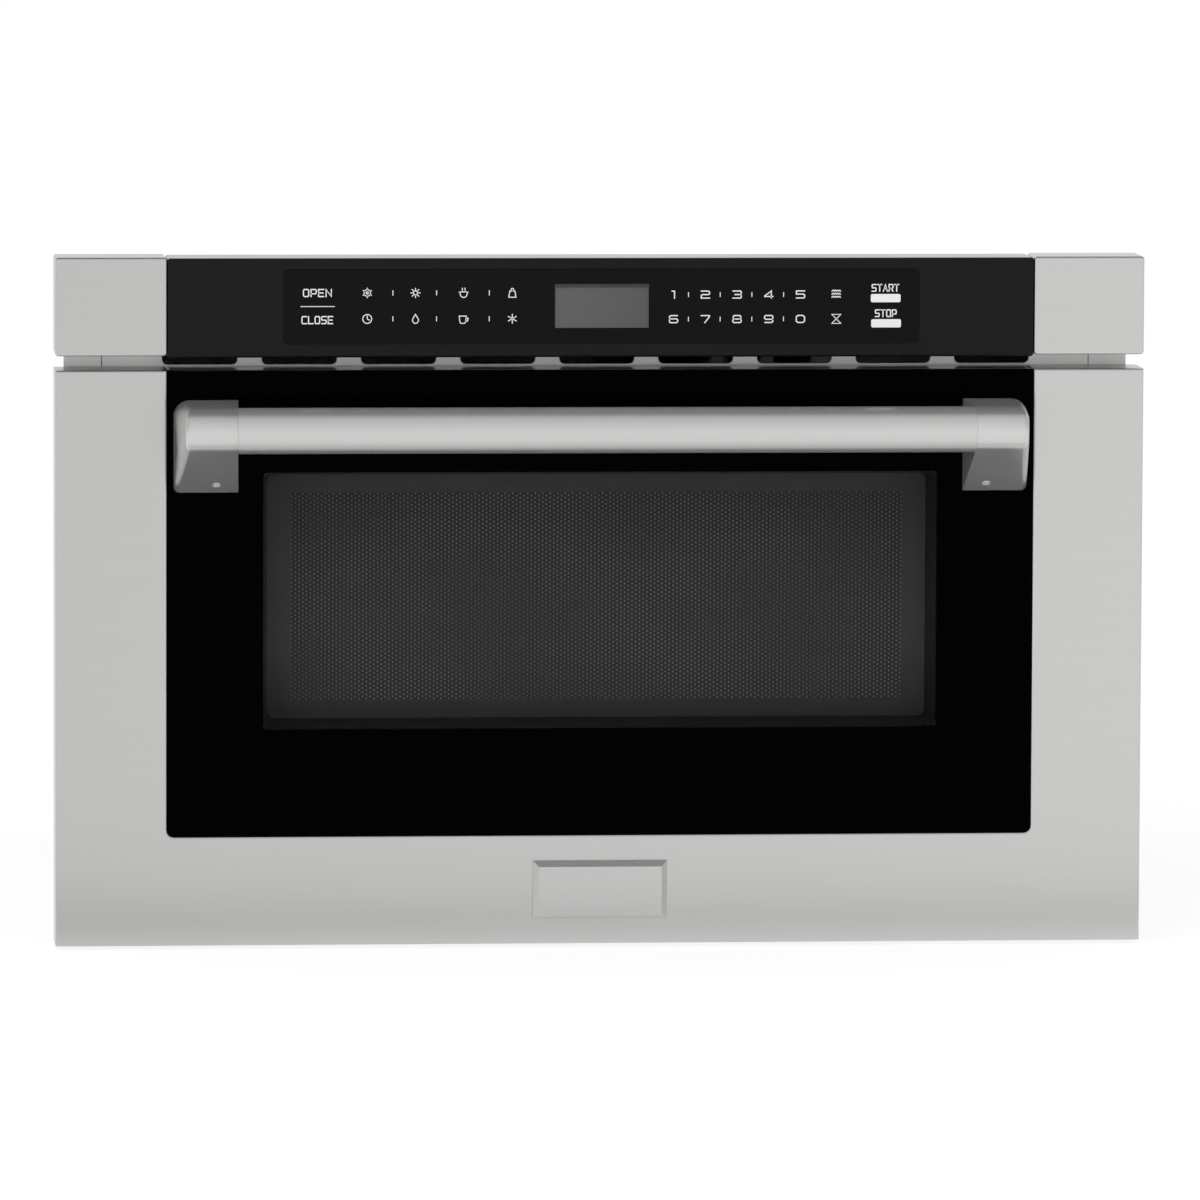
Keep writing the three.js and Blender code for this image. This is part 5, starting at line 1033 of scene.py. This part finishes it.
def traced(text):
    """A sign's lines from its text, each a list of points in a box that is one unit wide and high."""
    parts = [[pair.split(",") for pair in part.split()] for part in text.split("/")]
    return [[(int(u) / 100, int(v) / 100) for u, v in part] for part in parts]


def circle(x, z, radius, steps=16):
    """Points round a circle in a sign's box."""
    angles = [2 * math.pi * i / steps for i in range(steps + 1)]
    return [(x + radius * math.sin(a), z + radius * math.cos(a)) for a in angles]


def spokes(count, start, end, turn=2 * math.pi):
    """Lines between two distances from the middle of a sign's box, spread over a turn."""
    angles = [turn * i / count for i in range(count)]
    return [[(0.5 + r * math.sin(a), 0.5 + r * math.cos(a)) for r in (start, end)] for a in angles]


# The lines of each picture, in the same box.
pictures = {
    "clock": [circle(0.5, 0.5, 0.5), *traced("50,82 50,50 72,38")],
    "flake": spokes(3, 0.5, -0.5, math.pi),
    "drop": traced("50,100 20,50 16,28 30,6 50,0 70,6 84,28 80,50 50,100"),
    "cup": traced("0,80 10,10 20,0 60,0 70,10 80,80 0,80 / 76,60 100,55 95,25 72,25"),
    "bowl": traced("0,60 100,60 / 4,60 20,12 35,0 65,0 80,12 96,60 / 35,80 35,100 / 65,80 65,100"),
    "sun": [circle(0.5, 0.5, 0.24, 12), *spokes(8, 0.38, 0.52)],
    "gear": [circle(0.5, 0.5, 0.36), circle(0.5, 0.5, 0.12, 8), *spokes(6, 0.36, 0.52)],
    "weight": [*traced("10,0 90,0 78,68 22,68 10,0"), circle(0.5, 0.84, 0.15, 10)],
    "waves": [[(0.12 * i, row + (0.12 if i % 2 else 0)) for i in range(9)] for row in (0.1, 0.44, 0.78)],
    "hourglass": traced("0,100 100,100 50,50 0,0 100,0 50,50 0,100"),
}

# Screen-printed ink: nearly white and dull, with the faint texture of the printer's mesh.
ink, tree, shader, place = material("screen_printed_ink", INK, Specular_IOR_Level=0.3)
screen_mesh = textured(tree, place, "TexNoise", INK_MESH).outputs["Fac"]
varied(tree, shader, screen_mesh, (0.45, 0.65), ("e9e9e7", "f6f6f4"))
legends = bmesh.new()
ink_front = FACE + depths[0] - INK_HEIGHT
ink_back = FACE + depths[0] - INK_GAP


def slab(corners):
    """A thin flat shape of ink from its corners in x and z."""
    front = [legends.verts.new((x, ink_front, z)) for x, z in corners]
    behind = [legends.verts.new((x, ink_back, z)) for x, z in corners]
    legends.faces.new(front)
    legends.faces.new(behind[::-1])
    for i in range(len(corners)):
        legends.faces.new([front[i - 1], behind[i - 1], behind[i], front[i]])


def stroke(points, width):
    """A line of even width through points, mitred at its corners."""
    closed = math.dist(points[0], points[-1]) < MERGE
    path = [Vector(p) for p in (points[:-1] if closed else points)]
    count = len(path)
    sides = []
    for i, here in enumerate(path):
        before = path[i - 1] if i or closed else None
        after = path[(i + 1) % count] if i < count - 1 or closed else None
        ways = []
        for first, second in ((before, here), (here, after)):
            if first is not None and second is not None:
                ways.append((second - first).normalized())
        normals = [Vector((-way.y, way.x)) for way in ways]
        middle = sum(normals, Vector((0, 0))).normalized()
        reach = width / 2 / max(middle.dot(normals[0]), SHARPEST)
        end = Vector((0, 0))
        if len(ways) == 1:
            end = ways[0] * (width / 2) * (1 if before is not None else -1)
        sides.append((here + middle * reach + end, here - middle * reach + end))
    for i in range(count if closed else count - 1):
        (a, b), (c, d) = sides[i], sides[(i + 1) % count]
        slab([a, b, d, c])


def draw(sign, left, low, width, height, line):
    """One sign in its box."""
    for points in sign:
        stroke([(left + width * u, low + height * v) for u, v in points], line)


def word(text, middle, height, width):
    """A word centred on a place, spread over a width."""
    letter = width / (len(text) + LETTER_GAP * (len(text) - 1))
    for i, sign in enumerate(text):
        left = middle[0] - width / 2 + i * letter * (1 + LETTER_GAP)
        draw(traced(signs[sign]), left, middle[1] - height / 2, letter, height, STROKE)


for i in range(DIGIT_COLUMNS):
    x = FIRST_DIGIT + i * DIGIT_PITCH
    for sign, z in ((str(i + 1), UPPER_ROW), (str((i + 6) % 10), LOWER_ROW)):
        left, foot = x - DIGIT_WIDTH / 2, z - DIGIT_HEIGHT / 2
        draw(traced(signs[sign]), left, foot, DIGIT_WIDTH, DIGIT_HEIGHT, STROKE)
        if i < DIGIT_COLUMNS - 1:
            mark_x = x + DIGIT_PITCH / 2 - MARK_SHIFT
            stroke([(mark_x, z - MARK_HALF), (mark_x, z + MARK_HALF)], MARK_LINE)

word("OPEN", (-157.8, 364.8), WORD_LEFT, 15.4)
stroke([(-167, 357.3), (-148.4, 357.3)], RULE)
word("CLOSE", (-157.8, 349.8), WORD_LEFT, 17)
word("START", (157.7, 367.2), WORD_RIGHT, 14.8)
word("STOP", (158, 353.1), WORD_RIGHT, 11.6)
for middle in ((157.9, 361.5), (158.2, 347.5)):
    slab(rounded(middle, KEY_SIZE, KEY_CORNER, 4))

picture_places = [
    ("gear", -130.2, PICTURE_UPPER),
    ("sun", -103.5, PICTURE_UPPER),
    ("bowl", -76.8, PICTURE_UPPER),
    ("weight", -49.8, PICTURE_UPPER),
    ("clock", -130.2, PICTURE_LOWER),
    ("drop", -103.5, PICTURE_LOWER),
    ("cup", -76.8, PICTURE_LOWER),
    ("flake", -49.8, PICTURE_LOWER),
    ("waves", 130.4, 364),
    ("hourglass", 130.4, 350),
]
for name, x, z in picture_places:
    left, foot = x - PICTURE_SIZE / 2, z - PICTURE_SIZE / 2
    draw(pictures[name], left, foot, PICTURE_SIZE, PICTURE_SIZE, PICTURE_LINE)
for x in (-116, -91.8, -62.6):
    for z in (PICTURE_UPPER, PICTURE_LOWER):
        stroke([(x, z - PICTURE_MARK_HALF), (x, z + PICTURE_MARK_HALF)], MARK_LINE)
finished(solid("panel_legends", legends), ink, "white_plastic", "chassis")

# ---- Studio
# A white floor that runs out to a white background, and soft even light from all round. What metal mirrors
# is white in front at its own height, darkest a little before overhead, and light again behind.

CAMERA_AWAY = 6  # metres
CAMERA_TURN = -4.8
CAMERA_RISE = 5.4
PICTURE_WIDTH = 0.666  # metres that the picture spans at the front face
CAMERA_ROLL = 0.23
PICTURE_MIDDLE = 0.1939  # height of the picture's middle
PICTURE_SIDE = -0.0005  # how far to the side of the object it lies
SENSOR = 36
CAMERA_SIGHT = 200  # metres
FLOOR_REACH = 60
FLOOR_DROP = 0.0002  # under the feet
FLOOR_TONE = "f4f4f4"
FLOOR_SHARE = 0.75  # of the glow in what the camera, gloss and glass see
FLOOR_GLOW = 1.1
ROOM_LIGHT = 0.8  # what falls on the object from all round
LAMP_PLACE = (-1.4, -2.6, 2.6)
LAMP_SIZE = (3, 2)
LAMP_POWER = 40  # watts
SIDE_LIGHT = 0.8  # share that metal mirrors of the surroundings far to the sides
SIDE_FROM = 0.4  # how far a direction points aside where they begin to darken
SIDE_TO = 0.9

target = Vector((PICTURE_SIDE, FACE / PER_METRE, PICTURE_MIDDLE))
turn, rise = math.radians(CAMERA_TURN), math.radians(CAMERA_RISE)
away = Vector((math.sin(turn) * math.cos(rise), -math.cos(turn) * math.cos(rise), math.sin(rise)))
lens = bpy.data.cameras.new("camera")
lens.sensor_width = SENSOR
lens.lens = SENSOR * CAMERA_AWAY / PICTURE_WIDTH
lens.clip_end = CAMERA_SIGHT
camera = bpy.data.objects.new("camera", lens)
camera.location = target + away * CAMERA_AWAY
level = (-away).to_track_quat("-Z", "Y").to_matrix()
camera.rotation_euler = (level @ Matrix.Rotation(math.radians(CAMERA_ROLL), 3, "Z")).to_euler()
bpy.context.scene.collection.objects.link(camera)
bpy.context.scene.camera = camera
bpy.context.scene.view_settings.view_transform = "Standard"

made = bmesh.new()
bmesh.ops.create_grid(made, x_segments=1, y_segments=1, size=FLOOR_REACH * PER_METRE)
floor = solid("floor", made)
floor.location.z = -FLOOR_DROP
white_floor = bpy.data.materials.new("white_floor")
white_floor.use_nodes = True
tree = white_floor.node_tree
tree.nodes.clear()
rays = put(tree, "LightPath").outputs
seen = rays["Is Camera Ray"]
for kind in ("Is Glossy Ray", "Is Transmission Ray"):
    seen = put(tree, "Math", {0: seen, 1: rays[kind]}, operation="MAXIMUM").outputs[0]
share = put(tree, "Math", {0: seen, 1: FLOOR_SHARE}, operation="MULTIPLY").outputs[0]
paint = put(tree, "BsdfDiffuse", {"Color": linear(FLOOR_TONE)}).outputs["BSDF"]
glow = put(tree, "Emission", {"Color": linear("ffffff"), "Strength": FLOOR_GLOW}).outputs["Emission"]
both = put(tree, "MixShader", {0: share, 1: paint, 2: glow}).outputs["Shader"]
put(tree, "OutputMaterial", {"Surface": both})
floor.data.materials.append(white_floor)

# Two cards, out of the camera's sight, give polished round metal its bands: a grey one on the floor at the
# object's foot, and a black one over the bar. Each has its width, its depth and its middle's place.
cards = (
    ("grey_card", "c3c3c3", (0.9, 0.075), (0, -0.0975, -0.0001)),
    ("black_card", "0a0a0a", (0.7, 0.12), (0, -0.014, 0.46)),
)
for name, tone, size, (across, before, up) in cards:
    made = bmesh.new()
    bmesh.ops.create_grid(made, x_segments=1, y_segments=1, size=PER_METRE / 2)
    bmesh.ops.scale(made, vec=(*size, 1), verts=made.verts)
    card = solid(name, made)
    card.location = (across, FACE / PER_METRE + before, up)
    card.visible_camera = False
    card.visible_diffuse = False
    card.visible_shadow = False
    paper = bpy.data.materials.new(name)
    paper.use_nodes = True
    paper.node_tree.nodes.clear()
    glow = put(paper.node_tree, "Emission", {"Color": linear(tone), "Strength": 1}).outputs["Emission"]
    put(paper.node_tree, "OutputMaterial", {"Surface": glow})
    card.data.materials.append(paper)

world = bpy.data.worlds.new("studio")
bpy.context.scene.world = world
world.use_nodes = True
tree = world.node_tree
tree.nodes.clear()
ways = put(tree, "SeparateXYZ", {"Vector": put(tree, "TexCoord").outputs["Generated"]}).outputs
forward = put(tree, "Math", {0: ways["Y"], 1: -1}, operation="MULTIPLY").outputs[0]
angle = put(tree, "Math", {0: ways["Z"], 1: forward}, operation="ARCTAN2").outputs[0]
share = put(tree, "MapRange", {"Value": angle, "From Max": math.pi}).outputs["Result"]
sky = put(tree, "ValToRGB", {"Fac": share})
# Brightness of what metal mirrors, from level in front, over the top, to level behind.
stops = ((0, 1), (0.13, 0.86), (0.27, 0.69), (0.455, 0.5), (0.52, 0.75), (0.82, 0.88), (1, 0.95))
ramp = sky.color_ramp.elements
ramp[0].position, ramp[1].position = stops[0][0], stops[-1][0]
for position, _ in stops[1:-1]:
    ramp.new(position)
for stop, (_, level) in zip(ramp, stops):
    stop.color = (level, level, level, 1)
rays = put(tree, "LightPath").outputs
aside = put(tree, "Math", {0: ways["X"]}, operation="ABSOLUTE").outputs[0]
dimming = {"Value": aside, "From Min": SIDE_FROM, "From Max": SIDE_TO, "To Min": 1, "To Max": SIDE_LIGHT}
dimmed = put(tree, "MapRange", dimming).outputs["Result"]
shade = {"Color": sky.outputs["Color"], "Strength": dimmed}
mirrored = put(tree, "Background", shade).outputs["Background"]
lit = put(tree, "Background", {"Color": linear("ffffff"), "Strength": ROOM_LIGHT}).outputs["Background"]
plain = put(tree, "Background", {"Color": linear("ffffff"), "Strength": 1}).outputs["Background"]
soft = put(tree, "MixShader", {0: rays["Is Glossy Ray"], 1: lit, 2: mirrored}).outputs["Shader"]
through = {0: rays["Is Camera Ray"], 1: rays["Is Transmission Ray"]}
straight = put(tree, "Math", through, operation="MAXIMUM").outputs[0]
shown = put(tree, "MixShader", {0: straight, 1: soft, 2: plain}).outputs["Shader"]
put(tree, "OutputWorld", {"Surface": shown})

lamp_light = bpy.data.lights.new("softbox", "AREA")
lamp_light.shape = "RECTANGLE"
lamp_light.size, lamp_light.size_y = LAMP_SIZE
lamp_light.energy = LAMP_POWER
softbox = bpy.data.objects.new("softbox", lamp_light)
softbox.location = LAMP_PLACE
softbox.rotation_euler = (target - softbox.location).to_track_quat("-Z", "Y").to_euler()
softbox.visible_glossy = False
bpy.context.scene.collection.objects.link(softbox)
